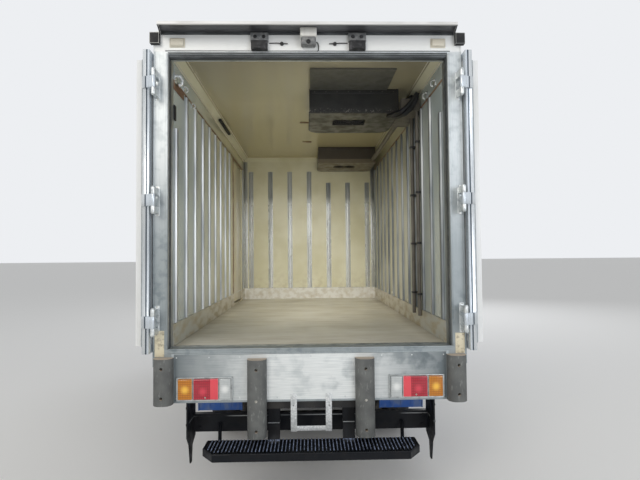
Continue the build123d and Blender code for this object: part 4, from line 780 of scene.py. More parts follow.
# Moulded ABS: black, with a fine stipple that spreads its shine, and rubbed grey patches
moulded_black, tree, shader, place = surface("moulded_black_abs", roughness=0.48)
stipple = put(tree, "TexNoise", {"Vector": place, "Scale": 900, "Detail": 2})
wear = patches(tree, place, 60, 0.45, 0.75)
weather(tree, shader, wear, "#1C1D1F", "#34343A", relief=(stipple, 0.25, 0.0006))
EVAPORATORS = ((REAR + 0.756, 0.005, 0.690), (REAR + 2.690, 0.110, 0.780))
TRAY_Z = 2.597
FAN_Y = 0.25
TRAY_DEPTH = 0.49
TRAY_CORNER = 0.093


def ring(bm, centre, across, up, radius, thick, steps, sides=6):
    """Round bar bent to a circle about a centre, in the plane of two directions."""
    turns = [math.tau * k / steps for k in range(steps)]
    centre, across, up = Vector(centre), Vector(across), Vector(up)
    tube(bm, [centre + (across * math.cos(t) + up * math.sin(t)) * radius for t in turns], thick, sides,
         closed=True)


bm = bmesh.new()
for y, x0, x1 in EVAPORATORS:
    # guard rings and hub of the two fans in the slot
    for centre in (x0 + 0.255, x0 + 0.385):
        for radius in (0.020, 0.036, 0.052):
            ring(bm, (centre, y + FAN_Y, TRAY_Z + 0.004), (1, 0, 0), (0, 1, 0), radius, 0.0016, 28)
        for k in range(4):
            t = math.pi * k / 4
            tube(bm, [(centre - 0.054 * math.cos(t), y + FAN_Y - 0.054 * math.sin(t), TRAY_Z + 0.006),
                      (centre + 0.054 * math.cos(t), y + FAN_Y + 0.054 * math.sin(t), TRAY_Z + 0.006)],
                 0.0014, 6)
        lathe(bm, (centre, y + FAN_Y, TRAY_Z + 0.020), (0, 0, -1),
              [(0.001, 0.006), (0.014, 0.006), (0.018, 0.0), (0.018, -0.008), (0.001, -0.008)], 20)
piece("fan_guards", bm, moulded_black, "truck", "fitting_black")
spots = []
bm = bmesh.new()
for y, x0, x1 in EVAPORATORS:
    # rolled lip round the drip tray and the flange along the ceiling
    turns = [math.pi * k / 8 for k in range(5)]
    outline = [(x0 - 0.003, y - 0.003), (x1 + 0.003, y - 0.003), (x1 + 0.003, y + TRAY_DEPTH)]
    outline += [(x1 + 0.003 - TRAY_CORNER * (1 - math.cos(t)), y + TRAY_DEPTH + TRAY_CORNER * math.sin(t))
                for t in turns[1:]]
    outline += [(x0 - 0.003 + TRAY_CORNER * (1 - math.sin(t)), y + TRAY_DEPTH + TRAY_CORNER * math.cos(t))
                for t in turns]
    tube(bm, [(x, yy, TRAY_Z + 0.006) for x, yy in outline], 0.0045, 8, closed=True)
    slab(bm, x0 + 0.02, x1 - 0.02, y - 0.006, y + 0.001, TRAY_Z + 0.152, TRAY_Z + 0.178, 0.0012)
    for i in range(8):
        spots.append(((x0 + 0.04 + i * (x1 - x0 - 0.08) / 7, y - 0.0065, TRAY_Z + 0.165), (0, -1, 0)))
        spots.append(((x0 + 0.04 + i * (x1 - x0 - 0.08) / 7, y - 0.0005, TRAY_Z + 0.017), (0, -1, 0)))
    for x in (x0 + 0.03, x1 - 0.03):
        for dy in (0.03, 0.25, 0.42):
            spots.append(((x, y + dy, TRAY_Z - 0.0005), (0, 0, -1)))
piece("evaporator_lips", bm, evaporator_enamel, "truck", "evaporator_grey")
fasteners("evaporator_screws", spots, 0.0045, 0.003, 6, 0.006, evaporator_enamel, "truck")

# Refrigerant pipes and drains: lagged pipe in a folded cover beside the first unit, grey drains on the wall.
# The pipes are rigid copper in black foam lagging, bent by hand round the end of the cover and clipped.
# Extruded PVC: grey and satin, with darker runs down it
pipe_cover = aged_finish("grey_pvc_pipe_and_cover", "#6F6A62", "#514C45", 50, 0.4, 0.75, stretch=(1, 1, 0.3),
                         detail=5, roughness=0.42)
dress(pipe_cover, "pipe_cover", "drain_pipes")
bm = bmesh.new()
for lift, out in ((0.0, 0.0), (0.036, 0.012), (0.018, -0.026)):
    tube(bm, [(0.640 + out, REAR + 0.80, 2.588), (0.668 + out, REAR + 0.72, 2.556 + lift),
              (0.716 + out, REAR + 0.650, 2.560 + lift), (0.764 + out, REAR + 0.636, 2.600 + lift),
              (0.790 + out * 0.5, REAR + 0.632, 2.650 + lift), (0.806, REAR + 0.632, 2.710)], 0.0165, 10)
    tube(bm, [(0.693, REAR + 0.86, 2.655 + lift), (0.722 + out, REAR + 0.84, 2.668 + lift),
              (0.752 + out, REAR + 0.80, 2.690 + lift * 0.6), (0.788, REAR + 0.74, 2.705 + lift * 0.5),
              (0.812, REAR + 0.70, 2.690), (0.818, REAR + 0.69, 2.640), (0.815, REAR + 0.69, 2.560)],
         0.0125, 10)
for y in (REAR + 0.69, REAR + 0.88):
    for z in (1.22, 1.60, 1.98, 2.36):
        slab(bm, 0.797, WALL_X, y - 0.019, y + 0.019, z - 0.008, z + 0.008, 0.002)
piece("lagged_pipes_and_clips", bm, moulded_black, "truck", "fitting_black")

# Condenser housing high on the front wall: a glass-fibre hood over the coil, with slats in front and beside.
# Laid up in a mould under white gelcoat, so it is smooth and glossy, with grey rain streaks down it.
hood_gelcoat, tree, shader, place = surface("white_gelcoat_hood", roughness=0.22, Coat_Weight=0.3)
rain = patches(tree, place, 90, 0.42, 0.8, stretch=(3, 3, 0.2), detail=5)
wire(tree, shader, {
    "Base Color": veiled(tree, rain, 0.4, "#ECEBE6", "#BDB9AC"),
    "Roughness": put(tree, "MapRange", {"Value": rain, 3: 0.18, 4: 0.42})})


def softened(name, width, material, body, slot, node, angle=30, steps=3, drawn_in=None):
    """The same solid with its edges rounded, made from a merged copy of its mesh.

    drawn_in is a distance from the truck's middle plane, and the nearer one that points past it are
    brought to.
    """
    bm = bmesh.new()
    bm.from_mesh(parts[node].data)
    bmesh.ops.remove_doubles(bm, verts=bm.verts[:], dist=0.00005)
    if drawn_in:
        for vert in bm.verts:
            if abs(vert.co.x) > drawn_in[0]:
                vert.co.x = math.copysign(drawn_in[1], vert.co.x)
    bmesh.ops.dissolve_limit(bm, angle_limit=math.radians(1), verts=bm.verts[:], edges=bm.edges[:])
    sharp = [e for e in bm.edges if len(e.link_faces) == 2 and e.calc_face_angle(0) > math.radians(angle)]
    bmesh.ops.bevel(bm, geom=sharp, offset=width, segments=steps, profile=0.5, affect="EDGES",
                    clamp_overlap=True, harden_normals=False)
    piece(name, bm, material, body, slot, node, crease=40)


softened("condenser_hood", 0.012, hood_gelcoat, "truck", "unit_white", "condenser_unit")
bm = bmesh.new()
HOOD_FRONT = 0.915 + 0.375
HOOD_LEAN = 0.0990
for i in range(15):
    z = 2.345 + i * 0.022
    y = HOOD_FRONT - 0.004 - (z - 2.330) * HOOD_LEAN
    pair(bm, 0.02, 0.55, y - 0.004, y + 0.007, z, z + 0.011, 0.002)
for i in range(10):
    pair(bm, 0.637, 0.645, 1.00, 1.18, 2.36 + i * 0.024, 2.372 + i * 0.024, 0.002)
piece("condenser_slats", bm, moulded_black, "truck", "fitting_black")
bm = bmesh.new()
for x in (-0.285, 0.285):
    for radius in (0.05, 0.085, 0.12, 0.150):
        ring(bm, (x, HOOD_FRONT + 0.011 - 0.16 * HOOD_LEAN, 2.50), (1, 0, 0), (0, -HOOD_LEAN, 1), radius,
             0.0028, 40)
piece("condenser_fan_guards", bm, moulded_black, "truck", "fitting_black")

# Rear portal: folded and welded stainless steel round the doorway, its rubber reveal and lamp fittings.
# Rolled finish on the header, drawn near-white and nearly non-metallic as a painted reflection of the sky;
# brushed on the posts, with water marks, hand grease and dull scuffs.


def stainless(name, brush_axis, dark, mid, light, stain_mm, ends, handling):
    """Rolled stainless steel brushed along an axis, with dull stains about stain_mm across.

    ends is how far painted shade darkens the sheet towards both of its sides, around a brighter middle that
    is a painted highlight, and handling how far it is dulled below shoulder height.
    The brushing is drawn 5 mm wide, because the real lines are too fine to show.
    """
    material, tree, shader, place = surface(name, roughness=0.32)
    axes = put(tree, "SeparateXYZ", {"Vector": place}, out=None)
    squeeze = [0.03 if axis == brush_axis else 1 for axis in "XYZ"]
    brushing = patches(tree, place, 5, 0.3, 0.75, stretch=squeeze, detail=3)
    stain = patches(tree, place, stain_mm, 0.44, 0.66, detail=8)
    cloudy = patches(tree, place, stain_mm * 4, 0.38, 0.72, detail=3)
    sheen = put(tree, "Mix", {0: 0.45, 2: brushing, 3: stain}, out=0, data_type="FLOAT")
    clean = put(tree, "Mix", {0: sheen, 6: light, 7: mid}, **COLOUR)
    reach = put(tree, "Math", {0: axes["X"]}, operation="ABSOLUTE")
    # painted shade towards both ends of the sheet, so that the middle is left bright as a painted highlight
    painted_end_shade = put(tree, "MapRange", {"Value": reach, 1: 0.25, 2: 0.80, 4: ends})
    header = put(tree, "MapRange", {"Value": axes["Z"], 1: 2.74, 2: 2.75})
    handled = put(tree, "MapRange", {"Value": axes["Z"], 1: 2.15, 2: 1.55, 4: handling})
    stains_and_end_shade = put(tree, "Math", {0: put(tree, "Math", {0: stain, 1: cloudy}, operation="MULTIPLY"), 1: 0.28,
                                 2: put(tree, "Math", {0: painted_end_shade, 1: handled}, operation="ADD")},
                  operation="MULTIPLY_ADD", use_clamp=True)
    darkened_share = put(tree, "Math", {0: stains_and_end_shade, 1: put(tree, "MapRange", {"Value": header, 3: 1.0, 4: 0.1})},
                 operation="MULTIPLY")
    # painted reflection: the header's near-white colour stands for the sky mirrored in bright steel
    with_header_reflection = put(tree, "Mix", {0: header, 6: clean, 7: "#F5F7F6"}, **COLOUR)
    matt = put(tree, "Math", {0: darkened_share, 1: header}, operation="MAXIMUM")
    wire(tree, shader, {
        "Base Color": put(tree, "Mix", {0: darkened_share, 6: with_header_reflection, 7: dark}, **COLOUR),
        "Metallic": put(tree, "MapRange", {"Value": header, 3: 0.5, 4: 0.12}),
        "Roughness": put(tree, "MapRange", {"Value": matt, 3: 0.46, 4: 0.5}),
        "Normal": put(tree, "Bump", {"Height": brushing, "Strength": 0.05, "Distance": 0.0005})})
    return material


post_steel = stainless("brushed_stainless_posts", "Z", "#828C90", "#BCC3C5", "#D6DBDC", 46, 0.0, 0.68)
dress(post_steel, "stainless", "rear_frame")
# Extruded rubber, greyed and dulled by weather, in patches drawn out along the header
weathered_rubber = aged_finish("weathered_extruded_rubber", "#45494C", "#606568", 35, 0.4, 0.7,
                               stretch=(0.3, 1, 1), detail=5, roughness=0.6)
# trims on the portal reach 1 mm into it, so that no gap shows behind them
SUNK = REAR + 0.001
bm = bmesh.new()
slab(bm, -0.843, 0.843, REAR + 0.016, REAR + 0.058, 2.714, 2.7185, 0.001)
slab(bm, -0.843, 0.843, REAR + 0.0105, REAR + 0.0150, 2.7165, 2.7300, 0.001)
slab(bm, -0.843, 0.843, REAR - 0.0015, REAR + 0.012, 2.7295, 2.7385, 0.002)
slab(bm, -0.860, 0.860, REAR - 0.0008, SUNK, 2.7448, 2.7500, 0.0004, 1)
# rubber strip under the visor's root; its grey is also painted shade from the visor above
slab(bm, -0.885, 0.885, REAR - 0.0030, SUNK, 2.8455, 2.8622, 0.001)
pair(bm, 0.8435, 0.8395, REAR + 0.020, REAR + 0.060, 0.967, 2.716, 0.0015)
piece("doorway_rubber_and_visor_shade_strip", bm, weathered_rubber, "truck", "fitting_black")
bm = bmesh.new()
# folded return along the doorway and the raised weather line on each post
pair(bm, 0.8445, 0.8545, REAR - 0.004, SUNK, 0.967, 2.734, 0.0015)
pair(bm, 0.9195, 0.9285, REAR - 0.003, SUNK, 0.955, 2.78, 0.0012)
pair(bm, 0.86, 0.925, REAR - 0.0035, SUNK, 0.885, 0.905, 0.0012)
slab(bm, -0.845, 0.845, REAR - 0.004, SUNK, 2.7380, 2.7445, 0.0012)
slab(bm, -0.860, 0.860, REAR - 0.003, SUNK, 2.7500, 2.7545, 0.0010)
slab(bm, -0.842, 0.842, REAR - 0.003, REAR + 0.040, 0.9440, 0.9500, 0.002)
slab(bm, -0.842, 0.842, REAR - 0.004, REAR + 0.002, 0.9610, 0.9690, 0.0015)
piece("portal_folds", bm, post_steel, "truck", "stainless")
# Old cream paint on steel: a soft gloss, broken by small brown stains
cream_paint = aged_finish("cream_paint_on_steel", "#E2D9BE", "#A99F87", 22, 0.5, 0.72, detail=6,
                          gloss=(0.32, 0.6), roughness=0.4)
bm = bmesh.new()
for side in (-1, 1):
    slab(bm, side * 0.862, side * 0.918, REAR - 0.0025, SUNK, 0.925, 1.061 - side * 0.016, 0.0012)
piece("post_foot_patches", bm, cream_paint, "truck", "white_panel")

# Rain visor over the doors: folded white-painted sheet with a turned lip, and rubber caps at the corners.
# The paint is bright, with soot streaked along its front; painted shade darkens its underside and the lower
# roll of the lip.
visor_paint, tree, shader, place = surface("white_paint_on_folded_sheet", roughness=0.3)
axes = put(tree, "SeparateXYZ", {"Vector": place}, out=None)
under = facing_up(tree, -0.2, -0.8)
soot = patches(tree, place, 60, 0.35, 0.75, stretch=(0.3, 1, 1), detail=6)
# painted shade on the lower roll of the lip
rolled = put(tree, "MapRange", {"Value": axes["Z"], 1: 2.8545, 2: 2.8475})
edge = put(tree, "Mix", {0: rolled, 6: "#F0F0EE", 7: "#6B6D6C"}, **COLOUR)
bright = veiled(tree, soot, 0.5, edge, "#B5B4AE")
# painted shade on the faces that look down, varied by the soot patches
soot_and_underside_shade = put(tree, "Mix", {0: soot, 6: "#56575A", 7: "#3C3D40"}, **COLOUR)
wire(tree, shader, {
    "Base Color": put(tree, "Mix", {0: under, 6: bright, 7: soot_and_underside_shade}, **COLOUR)})
dress(visor_paint, "visor_white", "rear_visor")
bm = bmesh.new()
pair(bm, 0.887, 0.945, REAR - 0.033, SUNK, 2.781, 2.849, 0.008, 3)
piece("corner_caps", bm, black_rubber, "truck", "fitting_black")

# Header fittings: cast lock keepers with two bolts each, a camera in a white housing, and side marker lamps.
# Iron castings, moulded plastic and acrylic, all screwed or bolted through the header.
# Black paint on rough cast iron: dull, with greyer rubbed patches
cast_keeper = aged_finish("black_painted_malleable_iron", "#1D1E20", "#47474A", 30, 0.42, 0.7,
                          roughness=0.55)
# Zinc primer: flat mid grey, a little mottled
keeper_plate = aged_finish("grey_zinc_primer", "#6E7072", "#8F908F", 18, 0.4, 0.7, roughness=0.5)
bm = bmesh.new()
bm2 = bmesh.new()
holes = []
for side in (-1, 1):
    x = side * 0.294
    slab(bm2, x - 0.054, x + 0.054, REAR - 0.020, SUNK, 2.798, 2.853, 0.003)
    slab(bm, x - 0.049, x + 0.049, REAR - 0.036, SUNK, 2.744, 2.800, 0.005, 3)
    slab(bm, x - 0.030, x + 0.030, REAR - 0.046, REAR - 0.030, 2.748, 2.764, 0.004)
    for dx in (-0.026, 0.026):
        holes.append(((x + dx, REAR - 0.0205, 2.828), (0, -1, 0)))
piece("lock_keepers", bm, cast_keeper, "truck", "fitting_black", "header_fittings")
piece("keeper_plates", bm2, keeper_plate, "truck", "fitting_black")
fasteners("keeper_bolts", holes, 0.0085, 0.005, 6, 0.0115, cast_keeper, "truck")
bm = bmesh.new()
slab(bm, -0.050, 0.050, REAR - 0.066, SUNK, 2.812, 2.868, 0.009, 3)
piece("camera_housing", bm, hood_gelcoat, "truck", "unit_white")
bm = bmesh.new()
slab(bm, -0.045, 0.045, REAR - 0.054, SUNK, 2.766, 2.816, 0.009, 3)
piece("camera_body", bm, keeper_plate, "truck", "unit_white")
bm = bmesh.new()
lathe(bm, (0, REAR - 0.056, 2.782), (0, -0.94, -0.34),
      [(0.001, 0.004), (0.009, 0.006), (0.013, 0.002), (0.014, -0.012), (0.001, -0.012)], 24)
tube(bm, [(0.046, REAR - 0.004, 2.80), (0.056, REAR - 0.006, 2.795), (0.062, REAR - 0.006, 2.775),
          (0.060, REAR - 0.004, 2.752), (0.052, REAR - 0.002, 2.742)], 0.003, 8)
for side in (-1, 1):
    tube(bm, [(side * 0.236, REAR - 0.004, 2.794), (side * 0.19, REAR - 0.008, 2.793),
              (side * 0.16, REAR - 0.008, 2.791), (side * 0.125, REAR - 0.006, 2.790)], 0.0028, 8)
    lathe(bm, (side * 0.160, REAR - 0.006, 2.790), (0, -1, 0),
          [(0.001, 0.010), (0.008, 0.010), (0.011, 0.004), (0.011, -0.006), (0.001, -0.006)], 16)
piece("camera_lens_and_latch_wires", bm, moulded_black, "truck", "fitting_black")
# Clear acrylic yellowed by the sun, moulded with upright flutes that catch the light
aged_lens, tree, shader, place = surface("yellowed_marker_lens", roughness=0.3, Transmission_Weight=0.15)
flutes = put(tree, "TexWave", {"Vector": place, "Scale": 160, "Distortion": 0.0}, out="Fac",
             bands_direction="X")
weather(tree, shader, flutes, "#F4EFE0", "#E0D9C6", relief=(flutes, 0.4, 0.001))
bm = bmesh.new()
pair(bm, 0.747, 0.827, REAR - 0.018, SUNK, 2.772, 2.820, 0.009, 3)
pair(bm, 0.741, 0.833, REAR - 0.005, SUNK, 2.767, 2.825, 0.002)
piece("header_marker_lamps", bm, aged_lens, "truck", "lamp_lens")

# Lamp sill under the doorway: a rolled stainless panel with a bright folded rim, screwed to the frame.
# Road spray and hands have stained it in clouds; painted shade darkens it towards its ends, around a painted
# highlight in the middle.
sill_steel = stainless("rolled_stainless_sill_with_painted_shade_and_highlight", "X", "#727B7F", "#C4CBCC", "#F2F5F4", 110, 0.95, 0.0)
dress(sill_steel, "stainless", "rear_sill")
bm = bmesh.new()
pair(bm, 0.803, 0.8205, REAR - 0.0035, SUNK, 0.656, 0.942, 0.0015)
slab(bm, -0.8205, 0.8205, REAR - 0.0035, SUNK, 0.6545, 0.6665, 0.0015)
slab(bm, -0.8205, 0.8205, REAR - 0.0030, SUNK, 0.9330, 0.9430, 0.0015)
piece("sill_rim", bm, post_steel, "truck", "stainless")
spots = []
for x in (-0.79, -0.60, -0.42, -0.20, 0.0, 0.20, 0.42, 0.60, 0.79):
    spots.append(((x, REAR - 0.0005, 0.918), (0, -1, 0)))
for x in (-0.79, -0.42, -0.20, 0.20, 0.42, 0.79):
    spots.append(((x, REAR - 0.0005, 0.680), (0, -1, 0)))
# Cast stainless: pale and bright, with small greyer patches where it is handled
bright_steel = aged_finish("cast_stainless_hinge_steel", "#E8ECEC", "#B9C0C2", 20, 0.42, 0.7, detail=4,
                           metallic=0.5, roughness=0.3)
fasteners("sill_screws", spots, 0.0034, 0.0012, 8, 0.0040, bright_steel, "truck")

# Tail lamps: a grey moulded base and three lenses each side, amber outside, red, and clear for reversing.
# Moulded acrylic with fine upright flutes behind a glossy face, and a painted highlight in front of the
# bulb's reflector.


def lens_plastic(name, base, deep, flute_mm, bulb_x, bulb_z, highlight_colour, reflex=None):
    """Coloured moulded acrylic, fluted inside, with a painted highlight in front of the bulb's reflector.

    flute_mm is the width of one ridge, drawn coarser than the real flutes so that they show.
    reflex is where a reflex panel ends on the lens, in metres from the middle of the truck, and its colour.
    """
    material, tree, shader, place = surface(name, roughness=0.14, Coat_Weight=0.6, Coat_Roughness=0.05)
    axes = put(tree, "SeparateXYZ", {"Vector": place}, out=None)
    reach = put(tree, "Math", {0: axes["X"]}, operation="ABSOLUTE")
    beside = put(tree, "Math", {0: reach, 1: bulb_x}, operation="SUBTRACT")
    over = put(tree, "Math", {0: axes["Z"], 1: bulb_z}, operation="SUBTRACT")
    away = put(tree, "VectorMath", {
        0: put(tree, "CombineXYZ", {"X": beside, "Z": over})}, out="Value", operation="LENGTH")
    # painted highlight: a brighter spot in front of the bulb's reflector
    lit = put(tree, "MapRange", {"Value": away, 1: 0.034, 2: 0.004}, interpolation_type="SMOOTHSTEP")
    flutes = put(tree, "TexWave", {"Vector": place, "Scale": 1000 / flute_mm / 6.28, "Distortion": 0.0},
                 out="Fac", bands_direction="X")
    cross = put(tree, "TexWave", {"Vector": place, "Scale": 1000 / flute_mm / 8, "Distortion": 0.0},
                out="Fac", bands_direction="Z")
    facets = put(tree, "Math", {0: flutes, 1: cross}, operation="MULTIPLY")
    moulded = put(tree, "Mix", {0: facets, 6: deep, 7: base}, **COLOUR)
    if reflex:
        panel = put(tree, "Math", {0: reach, 1: reflex[0]}, operation="LESS_THAN")
        moulded = put(tree, "Mix", {0: panel, 6: moulded, 7: reflex[1]}, **COLOUR)
    wire(tree, shader, {
        "Base Color": put(tree, "Mix", {0: lit, 6: moulded, 7: highlight_colour}, **COLOUR),
        "Normal": put(tree, "Bump", {"Height": facets, "Strength": 0.3, "Distance": 0.001})})
    return material


red_lens = lens_plastic("red_fluted_acrylic", "#CC2A40", "#9C1529", 6, 0.632, 0.724, "#D83C50",
                        (0.589, "#E94A57"))
amber_lens = lens_plastic("amber_fluted_acrylic", "#DE8F16", "#B26A0A", 5, 0.737, 0.735, "#FFC545")
clear_lens = lens_plastic("frosted_clear_acrylic", "#D3D7D6", "#B7BCBC", 4, 0.504, 0.736, "#ECEEEC")
# Satin silver spray on a plastic moulding: a broad pale shine, greyer in patches
lamp_body = aged_finish("satin_silver_lamp_body", "#C9CDCD", "#A3A8A9", 24, 0.4, 0.7, detail=5,
                        metallic=0.45, roughness=0.34)
dress(lamp_body, "fitting_black", "tail_lamps")
lamp_forms = ((red_lens, "red_lenses", 0.541, 0.689, 0.022),
              (amber_lens, "amber_lenses", 0.693, 0.780, 0.020),
              (clear_lens, "clear_lenses", 0.470, 0.537, 0.020))
for material, name, inner, outer, proud in lamp_forms:
    bm = bmesh.new()
    pair(bm, inner, outer, REAR - proud, REAR - 0.004, 0.675, 0.797, 0.007, 3)
    piece(name, bm, material, "truck", "lamp_lens")
bm = bmesh.new()
for z0, z1 in ((0.6675, 0.674), (0.798, 0.8035)):
    pair(bm, 0.461, 0.789, REAR - 0.012, SUNK, z0, z1, 0.002)
for x0, x1 in ((0.461, 0.468), (0.782, 0.789)):
    pair(bm, x0, x1, REAR - 0.012, SUNK, 0.6675, 0.8035, 0.002)
piece("lamp_surrounds", bm, lamp_body, "truck", "fitting_black")
spots = [((side * 0.618, REAR - 0.0222, 0.690), (0, -1, 0)) for side in (-1, 1)]
fasteners("lens_screws", spots, 0.0040, 0.002, 8, 0.0052, zinc_plate, "truck")

# Rubber buffers: moulded D-section blocks bolted to the sill and the frame, faded grey by the sun.
# Bolt heads sit deep in round wells; the upper ends are scuffed pale and the faces have rub marks.
faded_rubber, tree, shader, place = surface("sun_faded_moulded_rubber", roughness=0.78)
fade = patches(tree, place, 85, 0.32, 0.7, detail=6)
scuff = patches(tree, place, 14, 0.58, 0.7, stretch=(1, 1, 0.4), detail=4)
base = put(tree, "Mix", {0: fade, 6: "#5B5D5C", 7: "#6C6E6C"}, **COLOUR)
dusted = veiled(tree, facing_up(tree, 0.2, 0.8), 0.85, base, "#CBBBA9")
pores = put(tree, "TexNoise", {"Vector": place, "Scale": 500, "Detail": 3})
wire(tree, shader, {
    "Base Color": veiled(tree, scuff, 0.5, dusted, "#8E908E"),
    "Normal": put(tree, "Bump", {"Height": pores, "Strength": 0.3, "Distance": 0.001})})
softened("buffer_blocks", 0.006, faded_rubber, "truck", "buffer_rubber", "buffers", angle=40)
spots = []
for side in (-1, 1):
    for x, z0, z1 in ((0.860, 0.655, 0.922), (0.317, 0.460, 0.910)):
        for z in (z0 + 0.045, z1 - 0.055):
            spots.append(((side * x, REAR - 0.034, z), (0, -1, 0)))
    spots.append(((side * 0.317, REAR - 0.069, 0.676), (0, -1, 0)))
fasteners("buffer_bolts", spots, 0.0062, 0.006, 6, 0.0085, zinc_plate, "truck")

# Number plate bracket: galvanised strip, two uprights joined by a bar, with the plate left off.
# Sheared and bent steel strip dipped in zinc, so it is bright with a faint spangle and softly rounded edges.
galvanised, tree, shader, place = surface("hot_dip_galvanised_strip", metallic=0.5, roughness=0.42)
spangle = put(tree, "TexVoronoi", {"Vector": place, "Scale": 90}, out="Distance")
zinc = put(tree, "MapRange", {"Value": spangle, 1: 0.1, 2: 0.8})
weather(tree, shader, zinc, "#E6E8E8", "#BFC3C4", gloss=(0.34, 0.55))
softened("plate_bracket_strips", 0.0012, galvanised, "truck", "stainless", "plate_bracket", steps=2)

# Rear step: a welded tray of angle with close-set serrated grip bars, on two arms and slanted stays.
# Black paint with a bluish wear line and a painted highlight along every tooth, and dust in the corners.
step_paint, tree, shader, place = surface("black_grip_paint_with_wear_and_painted_highlights", roughness=0.5,
                                          Specular_IOR_Level=0.2)
axes = put(tree, "SeparateXYZ", {"Vector": place}, out=None)
rise = axes["Z"]
# the blue-grey on the tooth crests is partly worn-through paint and partly a painted highlight
crest = put(tree, "MapRange", {"Value": rise, 1: 0.4155, 2: 0.4205})
tread_top = put(tree, "Math", {0: put(tree, "Math", {0: rise, 1: 0.426}, operation="LESS_THAN"),
                               1: put(tree, "Math", {0: axes["Y"], 1: REAR + 0.052},
                                      operation="LESS_THAN")}, operation="MULTIPLY")
glint = put(tree, "Math", {0: patches(tree, place, 12, 0.35, 0.65, detail=4), 1: tread_top},
            operation="MULTIPLY")
wear_and_painted_light = put(tree, "Math", {0: crest, 1: glint}, operation="MULTIPLY")
dirt = patches(tree, place, 70, 0.42, 0.72, detail=6)
black = veiled(tree, dirt, 0.4, "#13161B", "#242221")
# a painted highlight: a pale line in patches along the upper corner of the guard bar
corner = put(tree, "Math", {0: rise, 1: 0.5095, 2: 0.0028}, operation="COMPARE")
rub_wear_and_edge_highlight = put(tree, "Math", {0: corner, 1: patches(tree, place, 90, 0.35, 0.6, stretch=(0.3, 1, 1))},
             operation="MULTIPLY")
painted_edge_highlight = put(tree, "Mix", {0: rub_wear_and_edge_highlight, 6: black, 7: "#A7ABAD"}, **COLOUR)
wire(tree, shader, {
    "Base Color": put(tree, "Mix", {0: wear_and_painted_light, 6: painted_edge_highlight, 7: "#8C99B4"}, **COLOUR),
    "Roughness": put(tree, "MapRange", {"Value": dirt, 3: 0.35, 4: 0.75})})
dress(step_paint, "step_black", "rear_step", "underrun_guard")

# Teeth of the grip bars: pressed peaks along each bar, an even pitch apart
teeth, given = geometry_tree("grip_teeth", Bars="Geometry", Width="Float", Peak="Float",
                             Finish="Material")
tooth = put(teeth, "GeometryNodeMeshCone", {
    "Vertices": 4, "Radius Bottom": given["Width"], "Radius Top": 0.0012, "Depth": given["Peak"]})
turned = put(teeth, "GeometryNodeTransform", {"Geometry": tooth, "Rotation": (0, 0, math.pi / 4)})
stood = put(teeth, "GeometryNodeInstanceOnPoints", {"Points": given["Bars"], "Instance": turned})
end_tree(teeth, stood, given["Finish"])
source = bpy.data.meshes.new("grip_points")
spots = []
BAR_PITCH = 0.021
TOOTH_PITCH = 0.0125
for i in range(-28, 29):
    x = i * BAR_PITCH
    start = REAR - 0.124 + 1.3 * max(0.0, abs(x) - 0.560)
    for k in range(14):
        y = start + TOOTH_PITCH * k
        if y < REAR + 0.045:
            spots.append((x, y, 0.4178))
source.from_pydata(spots, [], [])
grown("grip_teeth", source, teeth, {"Width": 0.0046, "Peak": 0.006, "Finish": step_paint}, "truck")
bm = bmesh.new()
edge = [(-0.620, REAR + 0.056), (-0.620, REAR - 0.058), (-0.553, REAR - 0.1442), (0.553, REAR - 0.1442),
        (0.620, REAR - 0.058), (0.620, REAR + 0.056)]
tube(bm, [(x, y, 0.409) for x, y in edge], 0.0055, 8, closed=True)
tube(bm, [(x, y, 0.374) for x, y in edge], 0.0055, 8, closed=True)
piece("step_rim", bm, step_paint, "truck", "step_black")

# Under-run bar: square steel tube with a plate at each end, low behind the rear of the frame.
# Welded and painted with the step, and held by bolts on washers.
spots = []
for side in (-1, 1):
    for z in (0.440, 0.498):
        for x in (0.28, 0.325, 0.70):
            spots.append(((side * x, REAR + 0.2015, z), (0, -1, 0)))
    for y, z in ((REAR + 0.075, 0.60), (REAR + 0.075, 0.50), (REAR + 0.20, 0.60), (REAR + 0.20, 0.50)):
        spots.append(((side * 0.7465, y, z), (side, 0, 0)))
fasteners("guard_bar_bolts", spots, 0.0085, 0.007, 6, 0.012, step_paint, "truck")

# Rear doors, folded right back. Foam-filled leaves with a stainless edge, a soft seal and a white plug.
# The edge faces the camera: outer fold painted pale blue as a reflection of the sky, dark fold line and
# bright rippled steel, the pale seal, then gelcoat.
door_skin, tree, shader, place = surface("door_gelcoat_and_steel_edge", roughness=0.22)
axes = put(tree, "SeparateXYZ", {"Vector": place}, out=None)
reach = put(tree, "Math", {0: axes["X"]}, operation="ABSOLUTE")
fold = put(tree, "Math", {0: reach, 1: 0.9765}, operation="LESS_THAN")
field = put(tree, "Math", {
    0: put(tree, "Math", {0: axes["Y"], 1: REAR + 0.3865, 2: 0.3905}, operation="COMPARE"),
    1: put(tree, "Math", {0: axes["Z"], 1: 1.843, 2: 0.846}, operation="COMPARE")},
    operation="MULTIPLY")
steel_part = put(tree, "Math", {0: fold, 1: field}, operation="SUBTRACT", use_clamp=True)
rain = patches(tree, place, 120, 0.42, 0.82, stretch=(1, 3, 0.25), detail=5)
# the brushing is drawn 5 mm wide, because the real lines are too fine to show
brushing = patches(tree, place, 5, 0.3, 0.75, stretch=(1, 1, 0.03), detail=3)
white = veiled(tree, rain, 0.35, "#F2F4F4", "#D6D4CA")
bright = put(tree, "Mix", {0: brushing, 6: "#DDE1E3", 7: "#B3BABF"}, **COLOUR)
